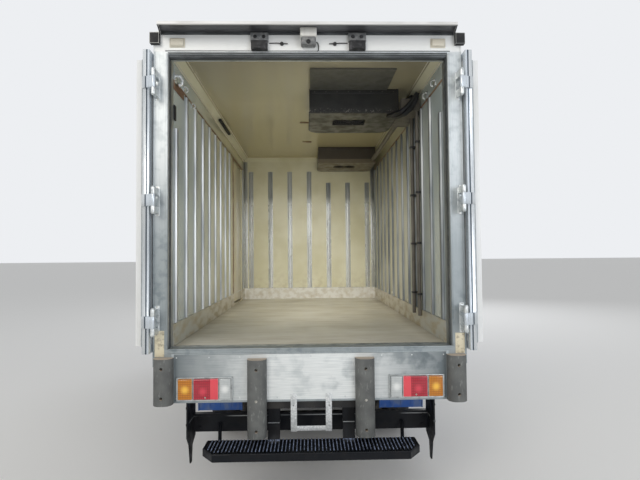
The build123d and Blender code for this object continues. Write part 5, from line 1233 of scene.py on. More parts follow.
# painted reflection: the outer fold is a pale sky blue
outer_fold = put(tree, "Math", {0: reach, 1: 0.950}, operation="LESS_THAN")
fold_line = put(tree, "Math", {0: reach, 1: 0.9520, 2: 0.0042}, operation="COMPARE")
folded = put(tree, "Mix", {0: outer_fold, 6: bright, 7: "#D3DBE2"}, **COLOUR)
steel = put(tree, "Mix", {0: fold_line, 6: folded, 7: "#4A545E"}, **COLOUR)
wire(tree, shader, {
    "Base Color": put(tree, "Mix", {0: steel_part, 6: white, 7: steel}, **COLOUR),
    "Metallic": put(tree, "Math", {0: steel_part, 1: 0.5}, operation="MULTIPLY"),
    "Normal": put(tree, "Bump", {
        "Height": put(tree, "TexNoise", {
            "Vector": put(tree, "Mapping", {"Vector": place, "Scale": (1, 1, 0.4)}), "Scale": 22,
            "Detail": 2}),
        "Strength": put(tree, "Math", {0: steel_part, 1: 0.35}, operation="MULTIPLY"),
        "Distance": 0.006}),
    "Roughness": put(tree, "MapRange", {"Value": brushing, 3: 0.22, 4: 0.38})})
# Soft sponge rubber: pale grey and matt, darker where it presses on the posts
pale_seal = aged_finish("pale_grey_door_seal_rubber", "#9CA5A8", "#7C8487", 40, 0.4, 0.7, detail=5,
                        roughness=0.6)
HINGE_Y = REAR - 0.076
DOOR_Y = (HINGE_Y + 0.072, HINGE_Y + 0.890)
PLUG_FACE = 1.0280
RUB_BARS = (1.50, 1.84, 2.18, 2.52)
for name, side in SIDES:
    softened(f"rear_door_panel_{name}", 0.0012, door_skin, f"rear_door_{name}", "white_panel",
             f"rear_door_{name}", steps=2, drawn_in=(1.0305, PLUG_FACE))
    bm = bmesh.new()
    # soft seal round the plug: a bulb and a lip on each of its four edges
    for x, radius, grow in ((0.9885, 0.0085, -0.0010), (0.9795, 0.0045, 0.0030)):
        loop = [(side * x, DOOR_Y[0] - grow, 0.990 - grow),
                (side * x, DOOR_Y[1] + grow - 0.004, 0.990 - grow),
                (side * x, DOOR_Y[1] + grow - 0.004, 2.690 + grow),
                (side * x, DOOR_Y[0] - grow, 2.690 + grow)]
        for a, b in zip(loop, loop[1:] + loop[:1]):
            tube(bm, [a, b], radius, 10)
    piece(f"door_seal_{name}", bm, pale_seal, f"rear_door_{name}", "fitting_black")
    bm = bmesh.new()
    # flat bars across the plug face and its kick plate
    face = side * PLUG_FACE
    slab(bm, face - side * 0.001, face + side * 0.0010, DOOR_Y[0] + 0.02, DOOR_Y[1] - 0.02, 1.0, 1.22,
         0.0006, 1)
    for z in RUB_BARS:
        slab(bm, face - side * 0.001, face + side * 0.0018, DOOR_Y[0] + 0.05, DOOR_Y[1] - 0.05, z - 0.016,
             z + 0.016, 0.0010, 1)
    piece(f"door_rub_strips_{name}", bm, polished_strip, f"rear_door_{name}", "rail_aluminium")
    spots = []
    for z in RUB_BARS:
        for k in range(8):
            spots.append(((face + side * 0.0013, DOOR_Y[0] + 0.08 + k * 0.094, z), (side, 0, 0)))
    fasteners(f"door_rivets_{name}", spots, 0.0048, 0.0014, 8, 0.0062, polished_strip, f"rear_door_{name}")

# Hinges of the rear doors: barrels and straps with greased pins, on plates screwed to the posts.
# Cast stainless steel, tumbled after casting, so the edges are soft.
HINGE_X = 0.905
HINGE_HEIGHTS = (1.136, 1.842, 2.535)
bm = bmesh.new()
spots = []
for side in (-1, 1):
    for z in HINGE_HEIGHTS:
        slab(bm, side * 0.889, side * 0.919, REAR - 0.0022, SUNK, z - 0.088, z + 0.088, 0.001)
        for dz in (-0.082, 0.082):
            spots.append(((side * HINGE_X, REAR - 0.0022, z + dz), (0, -1, 0)))
        for z0, z1 in ((z + 0.0755, z + 0.081), (z - 0.081, z - 0.0755)):
            lathe(bm, (side * HINGE_X, HINGE_Y, (z0 + z1) / 2), (0, 0, 1),
                  [(0.001, 0.003), (0.0085, 0.003), (0.0105, 0.0), (0.0085, -0.003), (0.001, -0.003)], 16)
piece("hinge_plates", bm, bright_steel, "truck", "stainless")
fasteners("hinge_screws", spots, 0.0036, 0.0022, 8, 0.0046, zinc_plate, "truck")
softened("hinge_barrels", 0.0035, bright_steel, "truck", "stainless", "rear_hinges", angle=40)
dress(bright_steel, "stainless", "side_hinges")

# Side door in the left wall, on strap hinges, with a rubber seal all round and a lever handle.
# White gelcoat outside with rain streaks in its gloss, and cream lining inside.
side_skin, tree, shader, place = surface("side_door_gelcoat", roughness=0.22, Coat_Weight=0.3)
rain = patches(tree, place, 110, 0.42, 0.82, stretch=(1, 3, 0.22), detail=5)
axes = put(tree, "SeparateXYZ", {"Vector": place}, out="X")
inside = put(tree, "Math", {0: axes, 1: -0.86}, operation="GREATER_THAN")
white = veiled(tree, rain, 0.4, "#EAE9E3", "#C6C2B5")
wire(tree, shader, {
    "Base Color": put(tree, "Mix", {0: inside, 6: white, 7: "#DFD7BF"}, **COLOUR)})
softened("side_door_leaf", 0.003, side_skin, "side_door", "white_panel", "side_door", steps=2)
bm = bmesh.new()
y0, y1 = DOOR_LEFT[0] - 0.018, DOOR_LEFT[1] + 0.015
loop = [(-0.934, y0, 0.969), (-0.934, y1, 0.969), (-0.934, y1, 2.606), (-0.934, y0, 2.606)]
for a, b in zip(loop, loop[1:] + loop[:1]):
    tube(bm, [a, b], 0.0055, 8)
piece("side_door_seal", bm, black_rubber, "side_door", "fitting_black")
bm = bmesh.new()
hy = DOOR_LEFT[0] + 0.04
slab(bm, -0.9755, -0.9645, hy - 0.045, hy + 0.045, 1.47, 1.79, 0.006, 3)
tube(bm, [(-0.972, hy, 1.74), (-0.989, hy, 1.735), (-0.995, hy, 1.70), (-0.995, hy, 1.58),
          (-0.991, hy, 1.55)], 0.0075, 10)
piece("side_door_lever", bm, polished_strip, "side_door", "stainless")

# Marker lamps along the body sides and high at the front: moulded amber lenses on rubber bases.
# Each lens is pressed over its base, and the base is screwed to the skin.
bm = bmesh.new()
bm2 = bmesh.new()
for y in (REAR + 0.95, REAR + 2.15):
    pair(bm2, 0.929, 0.936, y - 0.045, y + 0.045, 0.902, 0.938, 0.003)
    pair(bm, 0.934, 0.9445, y - 0.038, y + 0.038, 0.907, 0.933, 0.004, 3)
pair(bm2, 0.929, 0.936, 0.84, 0.90, 2.735, 2.775, 0.003)
pair(bm, 0.934, 0.950, 0.846, 0.894, 2.740, 2.770, 0.006, 3)
piece("side_marker_lenses", bm, amber_lens, "truck", "lamp_lens")
piece("side_marker_bases", bm2, black_rubber, "truck", "fitting_black")

# Cab: pressed and spot-welded steel panels, blue like the mudguards, tilting on its hinge arms at the front.
# Two-pack paint with a clear gloss, dulled by fine dust low down; the roof is one pressing.
cab_paint, tree, shader, place = surface("glossy_blue_cab_paint", roughness=0.3, Coat_Weight=0.55,
                                         Coat_Roughness=0.08)
height = put(tree, "SeparateXYZ", {"Vector": place}, out="Z")
splash = put(tree, "MapRange", {"Value": height, 1: 1.30, 2: 0.70, 3: 0.0, 4: 0.55})
mottle = put(tree, "MapRange", {"Value": patches(tree, place, 260, 0.30, 0.75, detail=8), 3: 0.45, 4: 1.0})
film = put(tree, "Math", {0: splash, 1: mottle}, operation="MULTIPLY")
top_dust = put(tree, "Math", {0: facing_up(tree, 0.6, 1.0), 1: 0.35}, operation="MULTIPLY")
dull = put(tree, "Math", {0: film, 1: top_dust}, operation="MAXIMUM")
orange_peel = put(tree, "TexNoise", {"Vector": place, "Scale": 260, "Detail": 1})
weather(tree, shader, dull, "#24509A", "#6F7F98", gloss=(0.24, 0.65), relief=(orange_peel, 0.04, 0.0005))
for name, node in (("cab_front_and_pillars", "cab_shell"), ("cab_roof_pressing", "cab_roof"),
                   ("cab_back_panel", "cab_back"), ("cab_floor_pan", "cab_floor")):
    softened(name, 0.003, cab_paint, "cab", "cab_blue", node, angle=40, steps=2)


def rail_line(z):
    """Half width of the cab at a height."""
    return 0.848 - max(0.0, z - 1.28) * 0.10


# raised swages pressed in the nose and the back, a drip rail over each door, and grab handles
bm = bmesh.new()
for z in (1.10, 1.20, 1.30, 1.38, 1.80):
    slab(bm, -0.70, 0.70, 1.0155, 1.024, z - 0.011, z + 0.011, 0.0042, 3)
for side in (-1, 1):
    tube(bm, [(side * (rail_line(1.888) + 0.002), 1.36, 1.888),
              (side * (rail_line(1.888) + 0.003), 1.60, 1.890),
              (side * (rail_line(1.880) + 0.003), 2.02, 1.876),
              (side * (rail_line(1.80) + 0.002), 2.115, 1.80)], 0.006, 8)
slab(bm, -0.70, 0.70, 2.604, 2.6165, 1.010, 1.022, 0.004, 3)
piece("cab_swages", bm, cab_paint, "cab", "cab_blue")
bm = bmesh.new()
tube(bm, [(0.60, 1.02, 1.20), (0.60, 0.992, 1.205), (0.60, 0.985, 1.22), (0.60, 0.985, 1.50),
          (0.60, 0.992, 1.515), (0.60, 1.02, 1.52)], 0.009, 10)
for side in (-1, 1):
    tube(bm, [(side * 0.745, 2.566, 1.19), (side * 0.745, 2.602, 1.20), (side * 0.745, 2.602, 1.235),
              (side * 0.745, 2.560, 1.245)], 0.008, 10)
piece("cab_grab_handles", bm, moulded_black, "cab", "fitting_black")
spots = [((side * 0.78, 1.018, z), (0, -1, 0)) for side in (-1, 1) for z in (1.06, 1.30, 1.60, 1.84)]
fasteners("cab_plugs", spots, 0.011, 0.003, 12, 0.014, moulded_black, "cab")

# Cab glass: laminated screen and toughened panes, lightly green, bonded or set in black moulded rubber.
# Float glass, so it is clear and mirrors sharply, with thin dust in patches.
cab_pane = aged_finish("green_tinted_cab_glass", "#D3E4DC", "#B9C9C4", 160, 0.45, 0.8, detail=5,
                       gloss=(0.015, 0.12), roughness=0.02, Transmission_Weight=0.92)
dress(cab_pane, "window_glass", "cab_glass", "cab_door_glass_left", "cab_door_glass_right")
SCREEN_MID = Vector((0, FRONT - 0.2235, 1.5975))
SCREEN_UP = Vector((0, -0.4771, 0.8789))
SCREEN_OUT = Vector((0, 0.8789, 0.4771))


def on_screen(x, up, out):
    """A point of the windscreen's plane: across, up the glass and out of it."""
    return SCREEN_MID + Vector((x, 0, 0)) + SCREEN_UP * up + SCREEN_OUT * out


def band(bm, corners, radius, sides=8, bow=0.05):
    """Round moulding along the sides of an outline, with its corners rounded."""
    points = [Vector(c) for c in corners]
    path = []
    for i, corner in enumerate(points):
        before = (points[i - 1] - corner).normalized() * bow
        after = (points[(i + 1) % len(points)] - corner).normalized() * bow
        for k in range(5):
            t = k / 4
            path.append(corner + before * (1 - t) ** 2 + after * t ** 2)
    tube(bm, path, radius, sides, closed=True)


bm = bmesh.new()
band(bm, [on_screen(-0.702, 0.272, -0.003), on_screen(0.702, 0.272, -0.003), on_screen(0.752, -0.272, -0.003),
          on_screen(-0.752, -0.272, -0.003)], 0.0115, 10)
band(bm, [(-0.480, 1.021, 1.420), (0.480, 1.021, 1.420), (0.480, 1.021, 1.760), (-0.480, 1.021, 1.760)],
     0.010, 10)
piece("screen_rubbers", bm, black_rubber, "cab", "fitting_black")

# Wipers: pressed arms on two spindles under the screen, black painted, with rubber blades on the glass.
# A domed cap covers each spindle, and a bridge spreads the arm's push along the blade.
bm = bmesh.new()
ARM = 0.40
ARM_ANGLE = math.radians(12)
for foot in (-0.50, 0.16):
    base = on_screen(foot, -0.300, 0.012)
    tip = on_screen(foot + ARM * math.cos(ARM_ANGLE), -0.300 + ARM * math.sin(ARM_ANGLE), 0.016)
    lathe(bm, base, SCREEN_OUT, [(0.003, -0.02), (0.016, -0.02), (0.016, 0.006), (0.010, 0.014),
                                 (0.003, 0.015)], 14)
    tube(bm, [base + SCREEN_OUT * 0.006, base.lerp(tip, 0.45) + SCREEN_OUT * 0.016, tip],
         [0.008, 0.006, 0.0035], 8)
    low = on_screen(foot + ARM * 0.52, -0.300 + ARM * 0.05, 0.0)
    high = on_screen(foot + ARM * 1.34, -0.300 + ARM * 0.40, 0.0)
    tube(bm, [low + SCREEN_OUT * 0.006, high + SCREEN_OUT * 0.006], 0.0038, 8)
    tube(bm, [low.lerp(high, 0.2) + SCREEN_OUT * 0.008, low.lerp(high, 0.5) + SCREEN_OUT * 0.017,
              low.lerp(high, 0.8) + SCREEN_OUT * 0.008], 0.0032, 8)
piece("screen_wipers", bm, moulded_black, "cab", "fitting_black")

# Cab doors: pressed outer skins with a rolled hem, hung on two forged hinges each.
# Black moulded handles outside; inside a grained trim board with an armrest and a window winder.
# Pressed board under grained vinyl: grey and dull, browner where arms and boots touch it
board, tree, shader, place = surface("grained_grey_trim_board", roughness=0.6)
leather = put(tree, "TexVoronoi", {"Vector": place, "Scale": 420}, out="Distance")
wear = patches(tree, place, 110, 0.4, 0.72, detail=5)
weather(tree, shader, wear, "#5E6064", "#777671", relief=(leather, 0.25, 0.0008))
WINDOW = ((1.450, 1.330), (2.230, 1.330), (1.995, 1.765), (1.450, 1.790))
for name, side in SIDES:
    body = f"cab_door_{name}"
    softened(f"cab_door_skin_{name}", 0.004, cab_paint, body, "cab_blue", body, angle=40, steps=2)
    bm = bmesh.new()
    band(bm, [(side * (rail_line(z) - 0.001), y, z) for y, z in WINDOW], 0.0075, 10)
    slab(bm, side * 0.845, side * 0.853, 1.405, 1.565, 1.170, 1.240, 0.0035, 3)
    tube(bm, [(side * 0.852, 1.42, 1.222), (side * 0.873, 1.43, 1.224), (side * 0.876, 1.45, 1.224),
              (side * 0.876, 1.52, 1.224), (side * 0.873, 1.54, 1.224), (side * 0.852, 1.55, 1.222)], 0.008,
         10)
    piece(f"cab_door_rubber_{name}", bm, moulded_black, body, "fitting_black")
    bm = bmesh.new()
    slab(bm, side * 0.786, side * 0.798, 1.40, 2.28, 1.03, 1.285, 0.005, 3)
    slab(bm, side * 0.752, side * 0.790, 1.55, 1.95, 1.150, 1.185, 0.012, 3)
    slab(bm, side * 0.768, side * 0.790, 1.92, 2.26, 1.045, 1.12, 0.008, 3)
    piece(f"cab_door_board_{name}", bm, board, body, "trim_black")
    bm = bmesh.new()
    lathe(bm, (side * 0.778, 2.05, 1.20), (side, 0, 0),
          [(0.002, -0.012), (0.016, -0.010), (0.020, 0.0), (0.020, 0.01), (0.002, 0.01)], 16)
    tube(bm, [(side * 0.772, 2.05, 1.20), (side * 0.768, 2.105, 1.175)], 0.0065, 8)
    tube(bm, [(side * 0.772, 2.105, 1.175), (side * 0.745, 2.105, 1.175)], [0.006, 0.009], 10)
    tube(bm, [(side * 0.786, 1.50, 1.245), (side * 0.774, 1.52, 1.245), (side * 0.774, 1.60, 1.240)], 0.006,
         8)
    piece(f"cab_door_winder_{name}", bm, moulded_black, body, "trim_black")

# Cab floor covering and headlining: a ribbed moulded mat over the pan and a felt lining under the roof.
# The felt is pressed to the roof's curve; pedals and levers stand on steel rods and have moulded pads.
# Needled felt: soft, pale and quite matt, a little stained
felt, tree, shader, place = surface("pressed_grey_felt_headlining", roughness=0.95, Sheen_Weight=0.25,
                                    Sheen_Roughness=0.5)
nap = put(tree, "TexNoise", {"Vector": place, "Scale": 700, "Detail": 3})
stains = patches(tree, place, 120, 0.5, 0.75, detail=4)
weather(tree, shader, stains, "#B4B1A8", "#9A958A", relief=(nap, 0.4, 0.001))
bm = bmesh.new()
lining_line = [(1.095, 1.922), (1.30, 1.931), (1.52, 1.936), (1.80, 1.927), (2.115, 1.910)]
rows = []
for y, z in lining_line:
    rows.append([bm.verts.new((x, y, z - 0.05 * max(0.0, abs(x) - 0.66))) for x in
                 (-0.74, -0.70, -0.6, -0.3, 0, 0.3, 0.6, 0.70, 0.74)])
for first, second in zip(rows, rows[1:]):
    for i in range(len(first) - 1):
        bm.faces.new((first[i], first[i + 1], second[i + 1], second[i]))
bmesh.ops.solidify(bm, geom=bm.faces[:], thickness=0.006)
slab(bm, -0.72, 0.72, 1.066, 1.074, 1.02, 1.39, 0.003)
slab(bm, -0.72, 0.72, 1.066, 1.074, 1.79, 1.88, 0.003)
pair(bm, 0.51, 0.72, 1.066, 1.074, 1.395, 1.785, 0.003)
piece("cab_headlining", bm, felt, "cab", "trim_black")
# Moulded rubber mat: black and dull, ribbed, with trodden dirt in patches
mat, tree, shader, place = surface("ribbed_moulded_floor_mat", roughness=0.8)
ribs = put(tree, "TexWave", {"Vector": place, "Scale": 18, "Distortion": 0.0}, out="Fac",
           bands_direction="X")
grit = patches(tree, place, 70, 0.42, 0.7, detail=6)
weather(tree, shader, grit, "#26272A", "#5B5349", relief=(ribs, 0.6, 0.002))
bm = bmesh.new()
slab(bm, -0.78, 0.78, 1.925, 2.42, 0.8955, 0.902, 0.003)
slab(bm, -0.78, 0.78, 1.075, 1.905, 1.0005, 1.006, 0.003)
slab(bm, -0.78, 0.78, 1.9105, 1.917, 0.90, 1.003, 0.002)
piece("cab_floor_mat", bm, mat, "cab", "trim_black")
bm = bmesh.new()
for x, tilt in ((0.30, 0.0), (0.42, 0.0), (0.55, 0.03)):
    tube(bm, [(x, 2.40, 1.06), (x, 2.345 + tilt, 1.00), (x, 2.315 + tilt, 0.955)], 0.007, 8)
    slab(bm, x - 0.028, x + 0.028, 2.298 + tilt, 2.312 + tilt, 0.925, 0.985, 0.004)
tube(bm, [(0.12, 2.02, 1.0), (0.125, 2.05, 1.10), (0.13, 2.03, 1.20)], 0.007, 8)
slab(bm, 0.106, 0.152, 2.008, 2.052, 1.19, 1.245, 0.018, 4)
slab(bm, 0.06, 0.18, 1.95, 2.10, 0.902, 1.01, 0.03, 4)
tube(bm, [(0.115, 1.80, 1.005), (0.115, 1.79, 1.10), (0.115, 1.86, 1.17)], 0.009, 8)
piece("pedals_and_levers", bm, moulded_black, "cab", "trim_black")

# Seats: a driver's seat and a double one. Foam cushions sewn in grey ribbed cloth on a moulded black base.
# Woven of light and dark yarn, so it is soft and quite matt, and browner where it has been sat on.
seat_cloth, tree, shader, place = surface("grey_ribbed_seat_cloth", roughness=0.92, Sheen_Weight=0.3,
                                          Sheen_Roughness=0.45)
# the ribs are drawn 2.5 mm and the twill 2 mm apart, coarser than real yarn, so that they show
weft = put(tree, "TexWave", {"Vector": place, "Scale": 125, "Distortion": 0.4}, out="Fac",
           bands_direction="X")
warp = put(tree, "TexWave", {"Vector": place, "Scale": 160, "Distortion": 0.4}, out="Fac",
           bands_direction="DIAGONAL")
weave = put(tree, "Math", {0: weft, 1: warp}, operation="MULTIPLY")
sat_on = patches(tree, place, 130, 0.42, 0.7, detail=4)
thread = put(tree, "Mix", {0: weave, 6: "#4B4F57", 7: "#6F757F"}, **COLOUR)
wire(tree, shader, {
    "Base Color": veiled(tree, sat_on, 0.5, thread, "#565650"),
    "Normal": put(tree, "Bump", {"Height": weave, "Strength": 0.4, "Distance": 0.0012})})


def stuffed(name, low, high, lean, cap):
    """Foam cushion: a smaller rounded block, leaned back, blown up as cloth with its movement capped."""
    bm = bmesh.new()
    slab(bm, low[0], high[0], low[1], high[1], low[2], high[2], 0.022, 3)
    foot = Vector(((low[0] + high[0]) / 2, (low[1] + high[1]) / 2, low[2]))
    bmesh.ops.rotate(bm, cent=foot, matrix=Matrix.Rotation(lean, 3, "X"), verts=bm.verts[:])
    obj = piece(name, bm, seat_cloth, "cab", "seat_fabric", crease=70)
    even = obj.modifiers.new("even", "REMESH")
    even.mode = "VOXEL"
    even.voxel_size = 0.012
    depsgraph = bpy.context.evaluated_depsgraph_get()
    mesh = bpy.data.meshes.new_from_object(obj.evaluated_get(depsgraph), depsgraph=depsgraph)
    obj.modifiers.remove(even)
    obj.data = mesh
    rest = [v.co.copy() for v in mesh.vertices]
    cloth = obj.modifiers.new("swell", "CLOTH")
    cloth.settings.use_pressure = True
    cloth.settings.uniform_pressure_force = 4
    cloth.settings.effector_weights.gravity = 0
    for step in range(1, 21):
        bpy.context.scene.frame_set(step)
    blown = obj.evaluated_get(bpy.context.evaluated_depsgraph_get()).to_mesh()
    moved = [v.co.copy() for v in blown.vertices]
    obj.modifiers.remove(cloth)
    bpy.context.scene.frame_set(1)
    for vertex, was, now in zip(mesh.vertices, rest, moved):
        shift = now - was
        vertex.co = was + shift * min(1.0, cap / max(shift.length, 1e-6))
    smooth = obj.modifiers.new("smooth", "SUBSURF")
    smooth.levels = smooth.render_levels = 1
    obj.data.shade_smooth()


bm = bmesh.new()
for x0, x1 in ((-0.755, 0.085), (0.165, 0.675)):
    slab(bm, x0, x1, 1.225, 1.715, 1.002, 1.060, 0.012, 3)
    slab(bm, x0 + 0.02, x1 - 0.02, 1.115, 1.150, 1.06, 1.60, 0.012, 3)
    for x in (x0 + 0.05, x1 - 0.05):
        tube(bm, [(x, 1.20, 1.03), (x, 1.19, 1.12)], 0.016, 10)
piece("seat_bases", bm, moulded_black, "cab", "trim_black", "seats", crease=40)
SEATS = (("double_outer", -0.745, -0.340), ("double_inner", -0.320, 0.075), ("driver", 0.175, 0.665))
for tag, x0, x1 in SEATS:
    stuffed(f"seat_cushion_{tag}", (x0 + 0.012, 1.262, 1.066), (x1 - 0.012, 1.708, 1.112), 0.03, 0.024)
    stuffed(f"seat_back_{tag}", (x0 + 0.012, 1.165, 1.132), (x1 - 0.012, 1.222, 1.560), 0.10, 0.024)
    middle = (x0 + x1) / 2
    stuffed(f"seat_headrest_{tag}", (middle - 0.11, 1.106, 1.600), (middle + 0.11, 1.158, 1.690), 0.08, 0.016)
bm = bmesh.new()
for _, x0, x1 in SEATS:
    for dx in (-0.05, 0.05):
        tube(bm, [((x0 + x1) / 2 + dx, 1.135, 1.55), ((x0 + x1) / 2 + dx, 1.132, 1.62)], 0.005, 8)
piece("headrest_posts", bm, zinc_plate, "cab", "trim_black")

# Dashboard: a grained black moulding with vents, a hooded instrument pod, radio slot and glovebox lid.
# Its leather grain breaks up any shine, and the sun has greyed it in patches.
dash_vinyl, tree, shader, place = surface("grained_black_dash_moulding", roughness=0.62)
grain = put(tree, "TexVoronoi", {"Vector": place, "Scale": 520}, out="Distance")
sun = patches(tree, place, 150, 0.4, 0.7, detail=4)
weather(tree, shader, sun, "#2B2D30", "#3D3E40", relief=(grain, 0.3, 0.0008))
softened("dash_moulding", 0.014, dash_vinyl, "cab", "trim_black", "dashboard", angle=25)
bm = bmesh.new()
slab(bm, 0.24, 0.62, 2.245, 2.42, 1.245, 1.315, 0.03, 4)
slab(bm, -0.72, -0.28, 2.196, 2.206, 1.135, 1.205, 0.004)
slab(bm, -0.16, 0.08, 2.194, 2.204, 1.13, 1.205, 0.004)
slab(bm, 0.36, 0.50, 2.165, 2.24, 1.17, 1.24, 0.02, 3)
piece("dash_pods", bm, dash_vinyl, "cab", "trim_black")
bm = bmesh.new()
for x in (-0.74, -0.22, 0.14, 0.72):
    for k in range(5):
        slab(bm, x - 0.035, x + 0.035, 2.2 + k * 0.001, 2.208 + k * 0.001, 1.214 + k * 0.0075,
             1.218 + k * 0.0075, 0.001, 1)
for x in (0.34, 0.52):
    lathe(bm, (x, 2.248, 1.28), (0, -1, 0), [(0.002, 0.0), (0.040, 0.0), (0.040, 0.006), (0.036, 0.006),
                                             (0.034, 0.003), (0.002, 0.003)], 24)
for x in (-0.13, -0.04, 0.05):
    lathe(bm, (x, 2.192, 1.15), (0, -1, 0), [(0.002, -0.004), (0.013, -0.004), (0.012, 0.012),
                                             (0.002, 0.013)], 16)
for x, reach in ((0.33, -1), (0.53, 1)):
    tube(bm, [(0.43 + reach * 0.03, 2.115, 1.255), (0.43 + reach * 0.12, 2.10, 1.265)], [0.006, 0.008], 8)
piece("dash_vents_and_dials", bm, moulded_black, "cab", "trim_black")

# Steering wheel: a steel hoop moulded over in black plastic, on three spokes with a padded boss.
# Hands have polished the plastic, so it shines in patches and is dull between.
rim_plastic = aged_finish("hand_polished_wheel_plastic", "#1B1C1E", "#2F3033", 40, 0.42, 0.68, detail=4,
                          gloss=(0.22, 0.5), roughness=0.35)
HUB = Vector((0.430, FRONT - 0.560, 1.330))
COLUMN = Vector((0, -0.5, 0.866))
LEFTWARD = Vector((1, 0, 0))
UPWARD = COLUMN.cross(LEFTWARD)
bm = bmesh.new()
# every third step of the rim is 1.2 mm thinner, for the fingers
ring(bm, HUB + COLUMN * 0.008, LEFTWARD, UPWARD, 0.195, [0.0123, 0.0135, 0.0135] * 24, 72, 14)
for angle in (90, 210, 330):
    t = math.radians(angle)
    out = LEFTWARD * math.cos(t) + UPWARD * math.sin(t)
    for shift in (-0.008, 0.008):
        across = COLUMN.cross(out) * shift
        tube(bm, [HUB + out * 0.02 + across + COLUMN * 0.008,
                  HUB + out * 0.10 + across * 1.1 + COLUMN * 0.010,
                  HUB + out * 0.188 + across * 1.5 + COLUMN * 0.008], [0.010, 0.0078, 0.0078], 10)
lathe(bm, HUB, COLUMN, [(0.002, -0.02), (0.036, -0.02), (0.046, -0.005), (0.046, 0.010), (0.040, 0.020),
                        (0.026, 0.026), (0.002, 0.028)], 32)
lathe(bm, HUB, COLUMN, [(0.002, -0.118), (0.022, -0.118), (0.022, -0.02), (0.002, -0.02)], 20)
piece("steering_hoop", bm, rim_plastic, "steering_wheel", "trim_black", "steering_wheel", crease=45)

# Door mirrors: round steel arms painted black, with a moulded shell and a flat glass each.
# The glass is silvered behind and bonded in, so it mirrors sharply under a little dust.
mirror_glass = aged_finish("silvered_mirror_glass", "#E3E7E8", "#C4C8C8", 50, 0.5, 0.8, detail=5,
                           gloss=(0.02, 0.2), metallic=1.0, roughness=0.03)
MIRROR_Y = FRONT - 0.150
bm = bmesh.new()
glass = bmesh.new()
for side in (-1, 1):
    x = side * 0.955
    for foot, out, end in (((side * 0.848, FRONT - 0.262, 1.25), (side, 0, 0), (x, MIRROR_Y, 1.440)),
                           ((side * 0.797, FRONT - 0.410, 1.79), (side, 0, 0.1), (x, MIRROR_Y, 1.750))):
        foot, out, end = Vector(foot), Vector(out).normalized(), Vector(end)
        lathe(bm, foot, out, [(0.002, 0.0), (0.020, 0.0), (0.019, 0.010), (0.013, 0.015), (0.002, 0.015)], 18)
        bend = end - (end - foot).normalized() * 0.03
        rise = Vector((0, 0, 0.03 if end.z < 1.6 else -0.03))
        tube(bm, [foot + out * 0.012, bend, end + (bend - end) * 0.4 + rise * 0.25, end + rise], 0.0108, 12)
    tube(bm, [(x, MIRROR_Y, 1.462), (x, MIRROR_Y, 1.728)], 0.0108, 12)
    slab(bm, side * 0.885, side * 1.025, MIRROR_Y - 0.042, MIRROR_Y - 0.008, 1.47, 1.72, 0.014, 4)
    slab(glass, side * 0.896, side * 1.014, MIRROR_Y - 0.0428, MIRROR_Y - 0.040, 1.482, 1.708, 0.001, 1)
    for z in (1.54, 1.65):
        slab(bm, x - 0.020, x + 0.020, MIRROR_Y - 0.016, MIRROR_Y + 0.014, z - 0.011, z + 0.011, 0.004)
piece("mirror_arms_and_shells", bm, moulded_black, "cab", "fitting_black", "mirrors", crease=40)
piece("mirror_panes", glass, mirror_glass, "cab", "fitting_black")

# Nose trim: a black grille of rounded bars and uprights on a flat back.
# Moulded in one piece and clipped in the nose panel.
bm = bmesh.new()
slab(bm, -0.600, 0.600, FRONT - 0.008, FRONT - 0.0045, 0.848, 0.992, 0.001, 1)
for i in range(4):
    z = 0.862 + i * 0.032
    slab(bm, -0.575, 0.575, FRONT - 0.0075, FRONT - 0.001, z, z + 0.018, 0.003, 3)
for x in (-0.590, -0.29, 0.0, 0.29, 0.590):
    slab(bm, x - 0.008, x + 0.008, FRONT - 0.0075, FRONT - 0.0005, 0.850, 0.990, 0.003, 3)
piece("grille_bars", bm, moulded_black, "cab", "trim_black", "front_grille")

# Front bumper: a moulded grey shell on steel brackets, with lamp wells and a plate recess left blank.
# Its fine grain keeps it dull, and sun and dust have paled it in broad patches.
bumper_plastic = aged_finish("grained_grey_bumper_moulding", "#5C5E61", "#6B6B6A", 120, 0.4, 0.72, detail=6,
                             gloss=(0.45, 0.75), grain=(600, 2, 0.3, 0.0007), roughness=0.55)
softened("bumper_shell", 0.008, bumper_plastic, "truck", "bumper_grey", "front_bumper", angle=35)
bm = bmesh.new()
for z in (0.370, 0.395):
    slab(bm, -0.68, 0.68, FRONT - 0.012, FRONT - 0.0005, z - 0.006, z + 0.006, 0.003, 3)
for side in (-1, 1):
    band(bm, [(side * 0.523, FRONT - 0.010, 0.523), (side * 0.697, FRONT - 0.010, 0.523),
              (side * 0.697, FRONT - 0.010, 0.637), (side * 0.523, FRONT - 0.010, 0.637)], 0.0045, 8,
         bow=0.015)
    slab(bm, side * 0.4 - 0.045, side * 0.4 + 0.045, FRONT - 0.008, FRONT - 0.0005, 0.44, 0.50, 0.004)
piece("bumper_ribs_and_bezels", bm, moulded_black, "truck", "trim_black")

